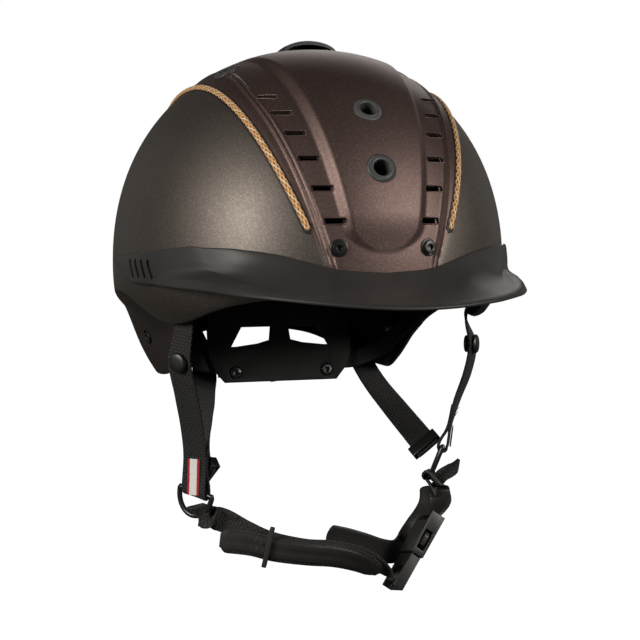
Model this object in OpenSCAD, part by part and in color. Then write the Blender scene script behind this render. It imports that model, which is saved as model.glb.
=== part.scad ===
// Riding helmet with a peak, a size dial at the nape and a four-point harness.
// Millimetres. +Z is up, -Y is the front, +X is the wearer's left.
// The origin is the middle of the head space, on the widest level of the shell.

/* [Shell] */
// Half of the outside width of the shell
half_width = 107; // [100:0.5:114]
// Length of the shell in front of the origin
front_length = 128.3; // [120:0.1:136]
// Length of the shell behind the origin
rear_length = 132.2; // [124:0.1:140]
// Height of the crown above the widest level
crown_height = 119.6; // [110:0.1:128]
// Roundness of the shell seen from above, 2 is an ellipse
plan_round = 2.14; // [2:0.01:2.4]
// Roundness of the shell seen from the side, 2 is an ellipse
side_round = 2.13; // [2:0.01:2.4]
// Wall of the outer shell
shell_wall = 3.2; // [2.4:0.1:4]
// Lowest level of the ear lobes of the shell, below the widest level
lobe_drop = 29.5; // [22:0.5:34]
// Lower rim of the shell behind the ears, below the widest level
rim_drop = 15; // [12:0.5:20]

/* [Liner and pads] */
// Thickness of the foam liner
liner_wall = 17; // [12:0.5:22]
// Thickness of the comfort pads at their crown
pad_thick = 6; // [4:0.5:8]

/* [Centre panel] */
// Thickness of the centre panel
panel_wall = 1.6; // [1.2:0.1:2.5]
// Height of the raised middle of the panel
nose_rise = 3.6; // [1:0.1:5]
// Length of the ventilation slots
slot_length = 9; // [6:0.5:11]
// Width of the ventilation slots
slot_width = 2.8; // [2:0.1:4]
// Diameter of the piping cord
piping_d = 3.4; // [2.4:0.1:4]

/* [Eyelets] */
// Outside diameter of an eyelet ring
eyelet_d = 15.6; // [13:0.1:18]
// Free diameter through an eyelet
eyelet_bore = 8.8; // [6:0.1:10]

/* [Visor] */
// How far the peak reaches in front of the shell
peak_reach = 46; // [36:1:54]
// Drop of the peak's lip below the widest level
peak_drop = 15; // [10:0.5:20]
// Thickness of the visor
visor_wall = 3; // [2.4:0.1:4]

/* [Neck guard] */
// Depth of the neck guard's tips below the widest level
guard_drop = 68; // [58:1:74]
// Wall of the neck guard
guard_wall = 2.6; // [2:0.1:3.4]
// Share by which the guard draws in behind the ears
guard_curl = 0.27; // [0.2:0.01:0.32]

/* [Size adjuster] */
// Half of the width of the nape cradle
cradle_half = 45; // [40:0.5:46]
// Height of the nape cradle
cradle_height = 48; // [44:0.5:52]
// Thickness of the nape cradle
cradle_wall = 3; // [2.4:0.1:4]
// Diameter of the dial knob
knob_d = 25; // [22:0.5:27]
// Pitch radius of the dial's pinion
pinion_r = 5; // [4.5:0.1:5.5]
// Teeth on the pinion
pinion_teeth = 10; // [8:2:12]

/* [Harness] */
// Width of the webbing
web_w = 15; // [12:0.5:16]
// Thickness of the webbing
web_t = 1.4; // [1:0.1:1.8]
// Width of the padded chin sleeve
sleeve_w = 13.5; // [12:0.5:16]
// Diameter of the snap studs on the front straps
stud_d = 10.8; // [8:0.1:12]

/* [Buckle] */
// Width of the buckle
buckle_w = 22; // [20:0.5:26]
// Thickness of the buckle
buckle_t = 8.4; // [7.5:0.1:10]
// Length of the visible body of the plug
plug_length = 19; // [15:0.5:22]
// Length of the socket
socket_length = 26; // [24:0.5:30]

/* [Screws] */
// Head diameter of the shell screws
screw_head_d = 6.6; // [5.5:0.1:8]
// Thread diameter of the shell screws
screw_d = 3; // [2.5:0.1:4]

/* [Hidden] */
$fn = 40;
gap = 0.3;

BROWN = [0.25, 0.17, 0.14];
PLUM = [0.22, 0.13, 0.12];
BLACK = [0.07, 0.07, 0.075];
GREY = [0.22, 0.23, 0.24];
GOLD = [0.66, 0.44, 0.16];
FOAM = [0.16, 0.16, 0.17];
WEBBING = [0.05, 0.05, 0.055];
STEEL = [0.55, 0.55, 0.57];

// Small helpers
function unit(v) = v / norm(v);
function flip(p, side) = [p[0] * side, p[1], p[2]];
// A place beside the shell follows its width and length, fully above the level of the chin
function with_shell(p) =
    let(k = soft_step((p[2] + 95) / 30))
    [p[0] * mix(1, half_width / 107, k),
     p[1] * mix(1, p[1] < 0 ? front_length / 128.3 : rear_length / 132.2, k), p[2]];
function soft_step(t) = let(c = min(max(t, 0), 1)) c * c * (3 - 2 * c);
function mix(a, b, t) = a * (1 - t) + b * t;
function flat(rows) = [for (r = rows) each r];
function sign_of(v) = v < 0 ? -1 : 1;

// The egg: half the length at a side, and the depth of its lower half
function egg_length(y, off) = (y < 0 ? front_length : rear_length) + off;
function low_depth(lon) = mix(60, 108, soft_step((abs(lon) - 82) / 30));
function plan_radius(lon, off) =
    let(b = egg_length(-cos(lon), off))
    pow(pow(abs(sin(lon)) / (half_width + off), plan_round)
        + pow(abs(cos(lon)) / b, plan_round), -1 / plan_round);
function level_scale(z, depth) = pow(max(0, 1 - pow(abs(z) / depth, side_round)), 1 / side_round);
// Point of the egg at a longitude (0 front, 90 left, 180 rear) and a level
function egg_at(lon, z, off) =
    let(depth = (z < 0 ? low_depth(lon) : crown_height) + off,
        r = plan_radius(lon, off) * level_scale(z, depth))
    [r * sin(lon), -r * cos(lon), z];
// Point of the egg in a direction given by a sideways angle and an angle over the crown
function way(side_angle, over_angle) =
    [sin(side_angle), -cos(side_angle) * cos(over_angle), cos(side_angle) * sin(over_angle)];
function egg_radius(d, off) =
    let(h = pow(abs(d[0]) / (half_width + off), plan_round)
            + pow(abs(d[1]) / egg_length(d[1], off), plan_round),
        c = (d[2] < 0 ? 60 : crown_height) + off)
    pow(pow(h, side_round / plan_round) + pow(abs(d[2]) / c, side_round), -1 / side_round);
function egg_way(side_angle, over_angle, off) =
    let(d = way(side_angle, over_angle)) d * egg_radius(d, off);
// Outward normal of the egg at a point of its upper half
function egg_normal(p) =
    let(b = egg_length(p[1], 0),
        h = pow(abs(p[0]) / half_width, plan_round) + pow(abs(p[1]) / b, plan_round),
        k = pow(max(h, 0.0001), side_round / plan_round - 1))
    unit([k * pow(abs(p[0]) / half_width, plan_round - 1) / half_width * sign_of(p[0]),
          k * pow(abs(p[1]) / b, plan_round - 1) / b * sign_of(p[1]),
          pow(abs(p[2]) / crown_height, side_round - 1) / crown_height * sign_of(p[2])]);

// Lines on the shell, as sideways angles at an angle over the crown
function rib_angle(over) =
    12.4 + 0.29 * over - 0.00145 * over * over * mix(0.6, 0.9, soft_step((over - 45) / 30));
function piping_angle(over) = 13.5 + 0.42 * over - 0.0021 * over * over;
// The panel ends beside the piping
function panel_angle(over) = max(rib_angle(over) + 1.2, piping_angle(over) - 0.95);
function nose_angle(over) =
    let(full = 7.4 + 0.19 * over - 0.0006 * over * over)
    over < 10 ? full * sqrt(max(0, 1 - pow((10 - over) / 6, 2))) : full;
panel_from = -2;
panel_to = 146;
piping_from = 9.5;
piping_to = 150;

// Lower rim of the outer shell around half of the head
RIM = [[0, -11], [28, -14], [38, -18], [44, -21.5], [51, -26], [60, -lobe_drop],
       [70, -lobe_drop], [76, -25.5], [84, -19], [92, -rim_drop], [180, -rim_drop]];
function rim_z(lon) = lookup(abs(lon), RIM);

// Frames: columns are the local x, y and z directions
module stand(at, x, y, z) {
    multmatrix([[x[0], y[0], z[0], at[0]], [x[1], y[1], z[1], at[1]], [x[2], y[2], z[2], at[2]],
                [0, 0, 0, 1]]) children();
}
// Puts the local +Z along a direction, with the local x as level as it can be
module point_along(at, z) {
    zz = unit(z);
    x = norm([zz[0], zz[1]]) < 0.01 ? [1, 0, 0] : unit(cross([0, 0, 1], zz));
    stand(at, x, cross(zz, x), zz) children();
}

// Skins closed rings of equal length; each ring is an outer row and then the inner row back
function ring_sides(rings, n, closed) = [
    for (j = [0 : rings - (closed ? 1 : 2)], i = [0 : n - 1])
        let(a = j * n + i, b = j * n + (i + 1) % n,
            c = ((j + 1) % rings) * n + (i + 1) % n, d = ((j + 1) % rings) * n + i)
        each [[a, b, c], [a, c, d]]];
function ring_cap(start, n, turn) = [
    for (k = [0 : n / 2 - 2])
        let(a = start + k, b = start + k + 1, c = start + n - 2 - k, d = start + n - 1 - k)
        each (turn ? [[a, b, c], [a, c, d]] : [[a, c, b], [a, d, c]])];
module skin(rings, closed = false, inside_out = false) {
    n = len(rings[0]);
    sides = ring_sides(len(rings), n, closed);
    caps = closed ? [] : concat(ring_cap(0, n, false), ring_cap((len(rings) - 1) * n, n, true));
    faces = concat(sides, caps);
    polyhedron(flat(rings), convexity = 8,
               faces = inside_out ? faces : [for (f = faces) [f[0], f[2], f[1]]]);
}
// A wall between two grids of points that have the same rows and columns
module wall(outer, inner, inside_out = false) {
    n = len(outer[0]);
    skin([for (j = [0 : len(outer) - 1])
              concat(outer[j], [for (i = [n - 1 : -1 : 0]) inner[j][i]])],
         inside_out = inside_out);
}

// Smooth curve through points, as many steps in each stretch
function spline_point(p0, p1, p2, p3, t) =
    0.5 * ((2 * p1) + (p2 - p0) * t + (2 * p0 - 5 * p1 + 4 * p2 - p3) * t * t
           + (3 * p1 - p0 - 3 * p2 + p3) * t * t * t);
function spline(pts, steps) =
    let(n = len(pts))
    concat([for (i = [0 : n - 2], s = [0 : steps - 1])
                spline_point(pts[max(i - 1, 0)], pts[i], pts[i + 1], pts[min(i + 2, n - 1)], s / steps)],
           [pts[n - 1]]);
function tangent(line, i) = unit(line[min(i + 1, len(line) - 1)] - line[max(i - 1, 0)]);
// A flat strap along a line; across gives the direction of its width at the points
module strap(line, across, width, thick) {
    skin([for (i = [0 : len(line) - 1])
              let(t = tangent(line, i), w = unit(across[i] - (across[i] * t) * t), n = cross(t, w))
              [line[i] - w * width / 2 - n * thick / 2, line[i] + w * width / 2 - n * thick / 2,
               line[i] + w * width / 2 + n * thick / 2, line[i] - w * width / 2 + n * thick / 2]]);
}
// A round cord along a line
module cord(line, d, sides = 8) {
    skin([for (i = [0 : len(line) - 1])
              let(t = tangent(line, i), u = unit(cross(t, [1, 0.02, 0.01])), v = cross(t, u))
              [for (k = [0 : sides - 1])
                   line[i] + (u * cos(360 * k / sides) + v * sin(360 * k / sides)) * d / 2]]);
}

// Outer shell: rows below the widest level, rows above it, and a pole
lons = [for (i = [0 : 47]) i * 7.5 - 180];
low_rows = 3;
high_rows = 11;
function row_z(lon, k, rim, top) =
    k < low_rows ? rim * (1 - k / low_rows)
                 : top * pow(sin(90 * (k - low_rows) / high_rows), 2 / side_round);
function shell_row(k, off, rim_lift) = [for (lon = lons)
    egg_at(lon, row_z(lon, k, rim_z(lon) + rim_lift, crown_height + off), off)];
module dome(off_out, off_in, rim_lift) {
    rows = low_rows + high_rows;
    n = len(lons);
    outer = [for (k = [0 : rows - 1]) shell_row(k, off_out, rim_lift)];
    inner = [for (k = [0 : rows - 1]) shell_row(k, off_in, rim_lift)];
    poles = [[0, 0, crown_height + off_out], [0, 0, crown_height + off_in]];
    out = [for (k = [0 : rows - 2], i = [0 : n - 1])
        let(a = k * n + i, b = k * n + (i + 1) % n, c = a + n, d = b + n) each [[a, b, d], [a, d, c]]];
    shift = rows * n;
    ins = [for (f = out) [f[0] + shift, f[2] + shift, f[1] + shift]];
    top = (rows - 1) * n;
    caps = [for (i = [0 : n - 1]) let(j = (i + 1) % n)
        each [[top + i, top + j, 2 * shift], [shift + top + j, shift + top + i, 2 * shift + 1],
              [j, i, shift + i], [j, shift + i, shift + j]]];
    faces = [for (f = concat(out, ins, caps)) [f[0], f[2], f[1]]];
    polyhedron(concat(flat(outer), flat(inner), poles), faces, convexity = 8);
}

// Vents: six slots on each side of the raised middle, and four round eyelets
SLOT_OVER = [50, 42.3, 34.8, 27.1, 19.2, 11.3];
function slot_side(over) = 8.3 + 0.285 * over - 0.0005 * over * over;
EYELETS = [[0, 22.7], [0, 38.3], [25.5, 79], [-25.5, 79]];
SCREWS = [[10.7, 5.2], [-10.7, 5.2]];
module at_vent(side_angle, over) {
    p = egg_way(side_angle, over, 0);
    point_along(p, egg_normal(p)) children();
}
module slot_cutters(depth) {
    for (o = SLOT_OVER, s = [-1, 1]) at_vent(s * slot_side(o), o)
        cube([slot_length, slot_width, depth], center = true);
}
module eyelet_cutters(r, depth) {
    for (e = EYELETS) at_vent(e[0], e[1]) cylinder(h = depth, r = r, center = true);
}
module screw_cutters(r, depth) {
    for (s = SCREWS) at_vent(s[0], s[1]) cylinder(h = depth, r = r, center = true);
}
module guard_screw_at(side) {
    point_along(guard_at(120.28 * side, -45, -0.4), [0.96 * side, -0.2, -0.2]) children();
}

module outer_shell() {
    color(BROWN) difference() {
        dome(0, -shell_wall, 0);
        wall(panel_grid(4, 0.4), panel_grid(-panel_wall - 0.2, 0.4));
        slot_cutters(30);
        eyelet_cutters(eyelet_bore / 2 + 1.2, 30);
        screw_cutters(screw_d / 2 + 0.1, 24);
        for (side = [-1, 1]) cord(piping_line(side), piping_d + 0.4, 6);
    }
}

// Centre panel: a strip over the crown with a raised middle and a rib along each edge
panel_rows = 26;
function panel_lift(side_angle, over) =
    let(n = nose_angle(max(over, 4.01)), rib = rib_angle(max(over, 0)), s = abs(side_angle))
    nose_rise * soft_step((n + 1 - s) / 3.4) * soft_step((over - 4) / 6)
        * soft_step((98 - over) / 52)
    + 0.6 * soft_step((s - rib + 1.4) / 1.2) * soft_step((rib + 1 - s) / 1.2) * soft_step((over - 2) / 4);
// Columns of the panel: close together on the flank of the nose and on the rib
function panel_half(over) =
    let(n = max(nose_angle(max(over, 4.01)), 4), r = rib_angle(max(over, 0)))
    [n * 0.4, n - 1.6, n + 1, (n + r) / 2, r - 1.5, r - 0.2, r + 1, panel_angle(max(over, 0))];
function panel_sides(over) =
    let(half = panel_half(over)) concat([for (i = [7 : -1 : 0]) -half[i]], [0], half);
// Grid of the panel's surface, or of its bed in the shell, which is wider by a few degrees
function panel_grid(lift, wider = 0, raised = 0) = [for (j = [0 : panel_rows])
    let(o = mix(panel_from - wider, panel_to + wider, j / panel_rows))
    [for (a = panel_sides(o)) egg_way(a * (1 + 0.03 * wider), o, lift + raised * panel_lift(a, o))]];
module centre_panel() {
    color(PLUM) difference() {
        wall(panel_grid(0, raised = 1), panel_grid(-panel_wall));
        slot_cutters(40);
        eyelet_cutters(eyelet_bore / 2 + 1.2, 40);
        screw_cutters(screw_d / 2 + 0.1, 24);
        for (k = [0 : 3]) at_vent(EYELETS[k][0], EYELETS[k][1])
            translate([0, 0, eyelet_lift(k) - 0.35]) cylinder(h = 9, r = eyelet_d / 2 + 0.1);
    }
}

// Piping: a braided cord that lies half in its groove
piping_rings = 30;
function piping_line(side) = [for (i = [0 : piping_rings])
    let(o = mix(piping_from, piping_to, i / piping_rings)) egg_way(side * piping_angle(o), o, 0.2)];
module piping(side) {
    color(GOLD) cord(piping_line(side), piping_d, 6);
}

// Top scoop: a hood over the crown with its mouth to the front
scoop_y = -12;
scoop_half = 15.5;
scoop_length = 42;
scoop_rise = 5.2;
scoop_wall = 1.8;
scoop_seat = 0.35;
function scoop_grid(shrink) = [for (j = [0 : 8])
    let(t = j / 8, y = scoop_y + scoop_length * t,
        seat = scoop_seat + nose_rise * soft_step((8 - y / 2.05) / 52),
        w = (scoop_half - shrink) * sqrt(1 - 0.75 * t * t),
        h = (scoop_rise - shrink) * pow(cos(84 * t), 0.8))
    [for (i = [0 : 10]) let(a = -90 + 18 * i, x = w * sin(a), p = egg_way(asin(x / 120), 90 + y / 2.05, 0))
        [x, y, p[2] + seat + h * cos(a) + (shrink > 0 ? -0.2 : 0)]]];
module top_scoop() {
    color(BLACK) wall(scoop_grid(0), scoop_grid(scoop_wall));
}

// Eyelet ring with a barrel that passes through panel and shell; the front ones sit on the nose
function eyelet_lift(k) = k < 2 ? nose_rise * 0.9 : 0;
module eyelet(k) {
    color(GREY) at_vent(EYELETS[k][0], EYELETS[k][1])
        translate([0, 0, eyelet_lift(k)]) rotate_extrude()
            polygon([[eyelet_bore / 2, 1.2], [eyelet_bore / 2 + 1, 1.6], [eyelet_d / 2 - 1, 0.9],
                     [eyelet_d / 2, 0.1], [eyelet_d / 2, -0.3], [eyelet_bore / 2 + 1, -0.3],
                     [eyelet_bore / 2 + 1, -7], [eyelet_bore / 2, -7]]);
}

// Visor: a section at each longitude, from the wing at the side to the peak in front
wing_end = 99;
VISOR_TOP = [[0, -1], [9, 0.2], [13, 1.6], [17, 4.2], [23, 7.6], [28, 9.4], [36, 11], [45, 11.2],
             [57, 9.6], [71, 7.2], [90, 5], [99, 4.4]];
VISOR_LOW = [[0, -15.5], [28, -13.5], [38, -10.5], [60, -9.2], [74, -9.2], [86, -5], [99, 1]];
// Distance of the peak's outer edge from the middle axis, for the longest peak
LIP = [[0, 174.3], [8, 173.6], [16, 170.4], [24, 162.4], [30, 152.4], [33.3, 146.2], [37, 139.6],
       [42, 132.3], [48, 125.4], [55, 119.8], [62, 116]];
function peak_out(lon) =
    let(a = abs(lon), bare = plan_radius(a, 0))
    a < 62 ? max(0, lookup(a, LIP) - bare) * peak_reach / 46 : 0;
function wing_wall(lon) = visor_wall * mix(1, 0.3, soft_step((abs(lon) - 76) / 20));
function out_by(lon, r, z) = [r * sin(lon), -r * cos(lon), z];
function visor_section(lon) =
    let(top = lookup(abs(lon), VISOR_TOP), low = lookup(abs(lon), VISOR_LOW),
        reach = peak_out(lon), k = min(reach / peak_reach, 1), w = wing_wall(lon),
        lip_z = -peak_drop + 6.5 * soft_step(abs(lon) / 36),
        a = egg_at(lon, top, gap), b = egg_at(lon, low, gap),
        base = norm([a[0], a[1]]), low_base = norm([b[0], b[1]]),
        tip = plan_radius(lon, 0) + max(reach, w))
    [a,
     out_by(lon, base + w * 0.7, top - 0.8),
     out_by(lon, mix(base + w, mix(base, tip, 0.28), k), mix(mix(top, low, 0.35), mix(top, lip_z, 0.45), k)),
     out_by(lon, mix(base + w, mix(base, tip, 0.66), k), mix(mix(top, low, 0.6), mix(top, lip_z, 0.8), k)),
     out_by(lon, tip - 0.8 * min(k * 6, 1), mix(mix(top, low, 0.85), lip_z + 0.6, k)),
     out_by(lon, tip - 0.6, mix(low, lip_z - 1.8, k)),
     out_by(lon, mix(tip - w * 0.5, tip - 3, k), mix(low, lip_z - 2.2, k)),
     out_by(lon, mix(base + w * 0.4, mix(base, tip, 0.55), k),
            mix(low + 0.5, mix(low, lip_z, 0.6) - 1.6, k)),
     out_by(lon, low_base + w * 0.2, low),
     b,
     egg_at(lon, mix(top, low, 0.66), gap),
     egg_at(lon, mix(top, low, 0.33), gap)];
visor_lons = [for (i = [-26 : 26]) let(t = i / 26) wing_end * t * (0.62 + 0.38 * t * t)];
module visor() {
    color(BLACK) difference() {
        skin([for (lon = visor_lons) visor_section(lon)]);
        for (s = [-1, 1], k = [0 : 3])
            rotate([0, 0, s * (63 + 3.6 * k)]) translate([0, -half_width - 5, -1])
                rotate([0, s * 28, 0]) cube([2.2, 14, 11], center = true);
    }
}

// Shell screws with a hexagon socket, and the nuts inside the shell
module socket_screw(length) {
    difference() {
        union() {
            cylinder(h = 2.6, r = screw_head_d / 2);
            translate([0, 0, -length]) cylinder(h = length + 0.5, r = screw_d / 2);
        }
        translate([0, 0, 1]) cylinder(h = 2, r = 1.5, $fn = 6);
    }
}
module visor_screws() {
    color(BLACK) for (s = SCREWS) at_vent(s[0], s[1]) translate([0, 0, 0.1]) socket_screw(9);
}
module flange_nut() {
    difference() {
        union() {
            cylinder(h = 1.4, r = 5);
            cylinder(h = 3.6, r = 2.9, $fn = 6);
        }
        translate([0, 0, -1]) cylinder(h = 7, r = screw_d / 2 + 0.02);
    }
}
module visor_nuts() {
    color(STEEL) for (s = SCREWS) at_vent(s[0], s[1])
        translate([0, 0, -shell_wall - 1.2]) mirror([0, 0, 1]) flange_nut();
}

// Neck guard: a wrap around the nape that curls in behind the ears
GUARD_EDGE = [[84, -24], [90, -36], [97, -45], [105, -55], [113, -62], [120, -guard_drop + 1.5],
              [126, -guard_drop], [134, -guard_drop + 1], [145, -61], [160, -50], [180, -44]];
GUARD_CURL = [[84, 0.88], [97, 1], [105, 0.9], [113, 0.71], [120, 0.42], [125, 0.17], [129, 0.03], [134, 0]];
function guard_radius(lon, z, off) =
    let(a = abs(lon), from = mix(8, 17, soft_step((a - 90) / 25)))
    plan_radius(lon, off) * level_scale(z, 108)
        * (1 - guard_curl * lookup(a, GUARD_CURL) * soft_step((-z - from) / 29));
function guard_at(lon, z, off) =
    let(r = guard_radius(lon, z, 0) + off) [r * sin(lon), -r * cos(lon), z];
guard_lons = [for (i = [0 : 32]) 84 + 192 * i / 32];
function wrapped(lon) = lon > 180 ? lon - 360 : lon;
tuck = shell_wall + 0.8;
tuck_wall = 1.2;
function guard_outer(lon) =
    let(edge = lookup(abs(lon), GUARD_EDGE), rim = rim_z(lon))
    concat([guard_at(lon, -6, -tuck), guard_at(lon, rim - 0.1, -tuck), guard_at(lon, rim - 0.8, 0)],
           [for (k = [1 : 6]) guard_at(lon, mix(rim - 0.8, edge, k / 6), 0)]);
function guard_inner(lon) =
    let(edge = lookup(abs(lon), GUARD_EDGE), rim = rim_z(lon))
    concat([guard_at(lon, -6, -tuck - tuck_wall), guard_at(lon, rim - 1, -tuck - tuck_wall),
            guard_at(lon, rim - 3.4, -guard_wall)],
           [for (k = [1 : 6]) guard_at(lon, mix(rim - 3.4, edge, k / 6), -guard_wall)]);
module neck_guard() {
    color(BROWN) difference() {
        union() {
            wall([for (l = guard_lons) guard_outer(wrapped(l))],
                 [for (l = guard_lons) guard_inner(wrapped(l))]);
            for (s = [-1, 1]) guard_screw_at(s) translate([0, 0, -7]) cylinder(h = 6, r = 5.5);
        }
        for (s = [-1, 1]) guard_screw_at(s) {
            translate([0, 0, -20]) cylinder(h = 40, r = screw_d / 2 + 0.1);
            translate([0, 0, -1.6]) cylinder(h = 20, r = screw_head_d / 2 + 1);
        }
    }
}
module neck_guard_screws() {
    color(BLACK) for (s = [-1, 1]) guard_screw_at(s) translate([0, 0, -1.5]) socket_screw(9);
}
module neck_guard_nuts() {
    color(STEEL) for (s = [-1, 1]) guard_screw_at(s)
        translate([0, 0, -7.1]) mirror([0, 0, 1]) flange_nut();
}

// Foam liner inside the shell
liner_out = shell_wall + 4 + 2 * gap;
liner_in = liner_out + liner_wall;
anchor_lon = 61;
anchor_at = front_route(1)[0];
module foam_liner() {
    color(FOAM) difference() {
        dome(-liner_out, -liner_in, 7);
        eyelet_cutters(eyelet_bore / 2 + 1.6, 80);
        screw_cutters(6, 24);
        for (s = [-1, 1]) translate(flip(PIVOT, s)) rotate([0, 90 * s, 0]) {
            cylinder(h = 40, r = pin_r + 0.05);
            translate([0, 0, -6]) cylinder(h = 8.2, r = eye_r + 2.5);
        }
        for (s = [0, 1]) mirror([s, 0, 0]) translate([anchor_at[0], anchor_at[1], 0])
            rotate([0, 0, anchor_lon - 90]) translate([-13.77, -13.34, -40]) cube([30, 26, 35]);
    }
}

// Pads: cushions on the liner, thick in the middle, with stitched channels
pad_seat = liner_in + 0.8;
function pad_swell(u, v, channels) =
    let(edge = pow(max(0, 1 - pow(abs(2 * u - 1), 5)), 0.5) * pow(max(0, 1 - pow(abs(2 * v - 1), 4)), 0.5),
        seam = channels == 0 ? 1 : 0.45 + 0.55 * pow(abs(sin(180 * u * channels)), 0.5))
    1 + (pad_thick - 1) * edge * seam;
function pad_grid(lon_a, lon_b, low, high, cols, rows, channels, thick) = [for (i = [0 : cols])
    let(u = i / cols, lon = mix(lon_a, lon_b, u))
    [for (k = [0 : rows]) let(v = k / rows, z = mix(low, high, v),
         p = egg_at(lon, z, -pad_seat), q = thick ? pad_swell(u, v, channels) : 0)
        p - [sin(lon), -cos(lon), 0.25] * q]];
module wall_pad(lon_a, lon_b, low, high, cols, rows, channels) {
    wall(pad_grid(lon_a, lon_b, low, high, cols, rows, channels, false),
         pad_grid(lon_a, lon_b, low, high, cols, rows, channels, true), inside_out = true);
}
module brow_pad() { color(BLACK) wall_pad(-64, 64, -3, 24, 32, 6, 5); }
module side_pad(side) {
    color(BLACK) wall_pad(side > 0 ? 96 : -150, side > 0 ? 150 : -96, 0, 26, 14, 6, 2);
}
module crown_pad() {
    cols = 16;
    color(BLACK) wall([for (i = [0 : cols]) [for (k = [0 : 8])
            egg_way(mix(-24, 24, k / 8), mix(56, 124, i / cols), -pad_seat)]],
         [for (i = [0 : cols]) [for (k = [0 : 8])
            egg_way(mix(-24, 24, k / 8), mix(56, 124, i / cols),
                    -pad_seat - pad_swell(i / cols, k / 8, 3))]]);
}

// Nape cradle: a plate that leans forward at its foot, in a frame of its own
cradle_y = 50;
cradle_top = -26;
cradle_lean = 8;
module in_cradle() { translate([0, cradle_y, cradle_top]) rotate([-cradle_lean, 0, 0]) children(); }
window_top = -15;
dial_z = -cradle_height + 12.5;
screw_x = 28.7;
screw_z = -cradle_height + 6;
module cradle_outline() {
    h = cradle_height;
    c = cradle_half;
    polygon([[-c, 0], [c, 0], [c, -h + 16], [c - 4, -h + 7], [c - 10, -h], [-c + 10, -h],
             [-c + 4, -h + 7], [-c, -h + 16]]);
}
module cradle_window(s) {
    polygon([[5.5 * s, window_top], [24 * s, window_top], [31 * s, window_top - 12],
             [14 * s, window_top - 10], [6.5 * s, window_top - 8]]);
}
module upright(depth) { rotate([90, 0, 0]) linear_extrude(depth) children(); }
module nape_cradle() {
    color(BLACK) in_cradle() difference() {
        union() {
            upright(cradle_wall) cradle_outline();
            translate([0, 0, -2]) cube([2 * cradle_half - 8, cradle_wall + 0.02, 4], center = true);
        }
        translate([0, 1, 0]) upright(cradle_wall + 2) { cradle_window(1); cradle_window(-1); }
        for (s = [-1, 1]) translate([s * screw_x, 1, screw_z]) rotate([90, 0, 0]) {
            cylinder(h = cradle_wall + 2, r = screw_d / 2 + 0.1);
            translate([0, 0, 3]) cylinder(h = 5, r = screw_head_d / 2 + 0.6);
        }
    }
}
module cradle_screws() {
    color(BLACK) in_cradle() for (s = [-1, 1])
        translate([s * screw_x, -2.05, screw_z]) rotate([90, 0, 0]) difference() {
            union() {
                cylinder(h = 1.8, r = screw_head_d / 2);
                translate([0, 0, -3.9]) cylinder(h = 4, r = screw_d / 2);
            }
            translate([0, 0, 0.8]) cylinder(h = 2, r = 1.5, $fn = 6);
        }
}

// Bands from the cradle to the pivots at the temples
PIVOT = [half_width - 31, -18, -8];
pin_r = 3;
eye_r = 7.5;
BAND = [PIVOT, with_shell([74.6, -3, -25]), with_shell([66.6, 15.5, -42]),
        with_shell([61.5, 31.5, -53]), [53, 42.3, -59.5],
        [46, 46.06, -61.6], [39.5, 46.06, -61.6]];
band_w = 11;
band_t = 1.5;
module band(side) {
    line = spline([for (p = BAND) flip(p, side)], 3);
    n = len(line) - 1;
    across = [for (i = [0 : n]) mix([0, 0.55, 0.83], [0, 0.14, 0.99], soft_step(i / n))];
    color(BLACK) difference() {
        union() {
            strap(line, across, band_w, band_t);
            translate(flip(PIVOT, side)) rotate([0, 90, 0]) cylinder(h = 2.6, r = eye_r, center = true);
        }
        translate(flip(PIVOT, side)) rotate([0, 90, 0]) cylinder(h = 20, r = pin_r + 0.05, center = true);
    }
}
module band_pivot(side) {
    color(GREY) translate(flip(PIVOT, side)) rotate([0, 90 * side, 0]) {
        translate([0, 0, -2.8]) cylinder(h = 1.4, r = 5);
        translate([0, 0, -2.8]) cylinder(h = 17, r = pin_r);
    }
}

// Dial: a housing behind the cradle, a pinion in it and a knob outside
housing_w = 72;
housing_h = 18;
housing_d = 11;
housing_wall = 1.6;
rack_h = 5;
rack_t = 4;
shaft_r = 2.5;
module on_dial() { in_cradle() translate([0, 0, dial_z]) rotate([-90, 0, 0]) children(); }
module dial_housing() {
    color(BLACK) on_dial() difference() {
        translate([0, 0, 0.1 + housing_d / 2]) cube([housing_w, housing_h, housing_d], center = true);
        translate([0, 0, housing_wall + 3.2])
            cube([housing_w + 2, housing_h - 2 * housing_wall, 6.4], center = true);
        translate([0, 0, housing_d - 4]) cylinder(h = 8, r = shaft_r + 0.06);
        for (s = [-1, 1]) translate([s * screw_x, dial_z - screw_z, -1])
            cylinder(h = 8, r = screw_d / 2 + 0.02);
    }
}
tooth_pitch = 2 * PI * pinion_r / pinion_teeth;
module gear_outline() {
    q = 360 / pinion_teeth;
    tooth = [[-0.34, -1.1], [-0.2, 0], [-0.09, 0.85], [0.09, 0.85], [0.2, 0], [0.34, -1.1]];
    polygon([for (k = [0 : pinion_teeth - 1])
                 each [for (s = tooth)
                     let(a = 90 + (k + 0.5 + s[0]) * q, r = pinion_r + s[1]) [r * cos(a), r * sin(a)]]]);
}
module dial_pinion() {
    color(GREY) on_dial() {
        translate([0, 0, 2.2]) linear_extrude(rack_t) gear_outline();
        translate([0, 0, 6.1]) cylinder(h = housing_d - 3.35, r = shaft_r);
    }
}
knob_h = 9;
module dial_knob() {
    color(BLACK) on_dial() translate([0, 0, housing_d + 0.4]) difference() {
        union() {
            cylinder(h = knob_h - 1.5, r = knob_d / 2 - 1);
            translate([0, 0, knob_h - 1.5]) cylinder(h = 1.5, r1 = knob_d / 2 - 1, r2 = knob_d / 2 - 2.4);
            for (k = [0 : 11]) rotate([0, 0, 30 * k]) translate([knob_d / 2 - 1.4, 0, 0])
                cylinder(h = knob_h - 1.6, r = 1.4);
        }
        translate([0, 0, -1]) cylinder(h = 1 + 2.4, r = shaft_r + 0.02);
    }
}
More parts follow.
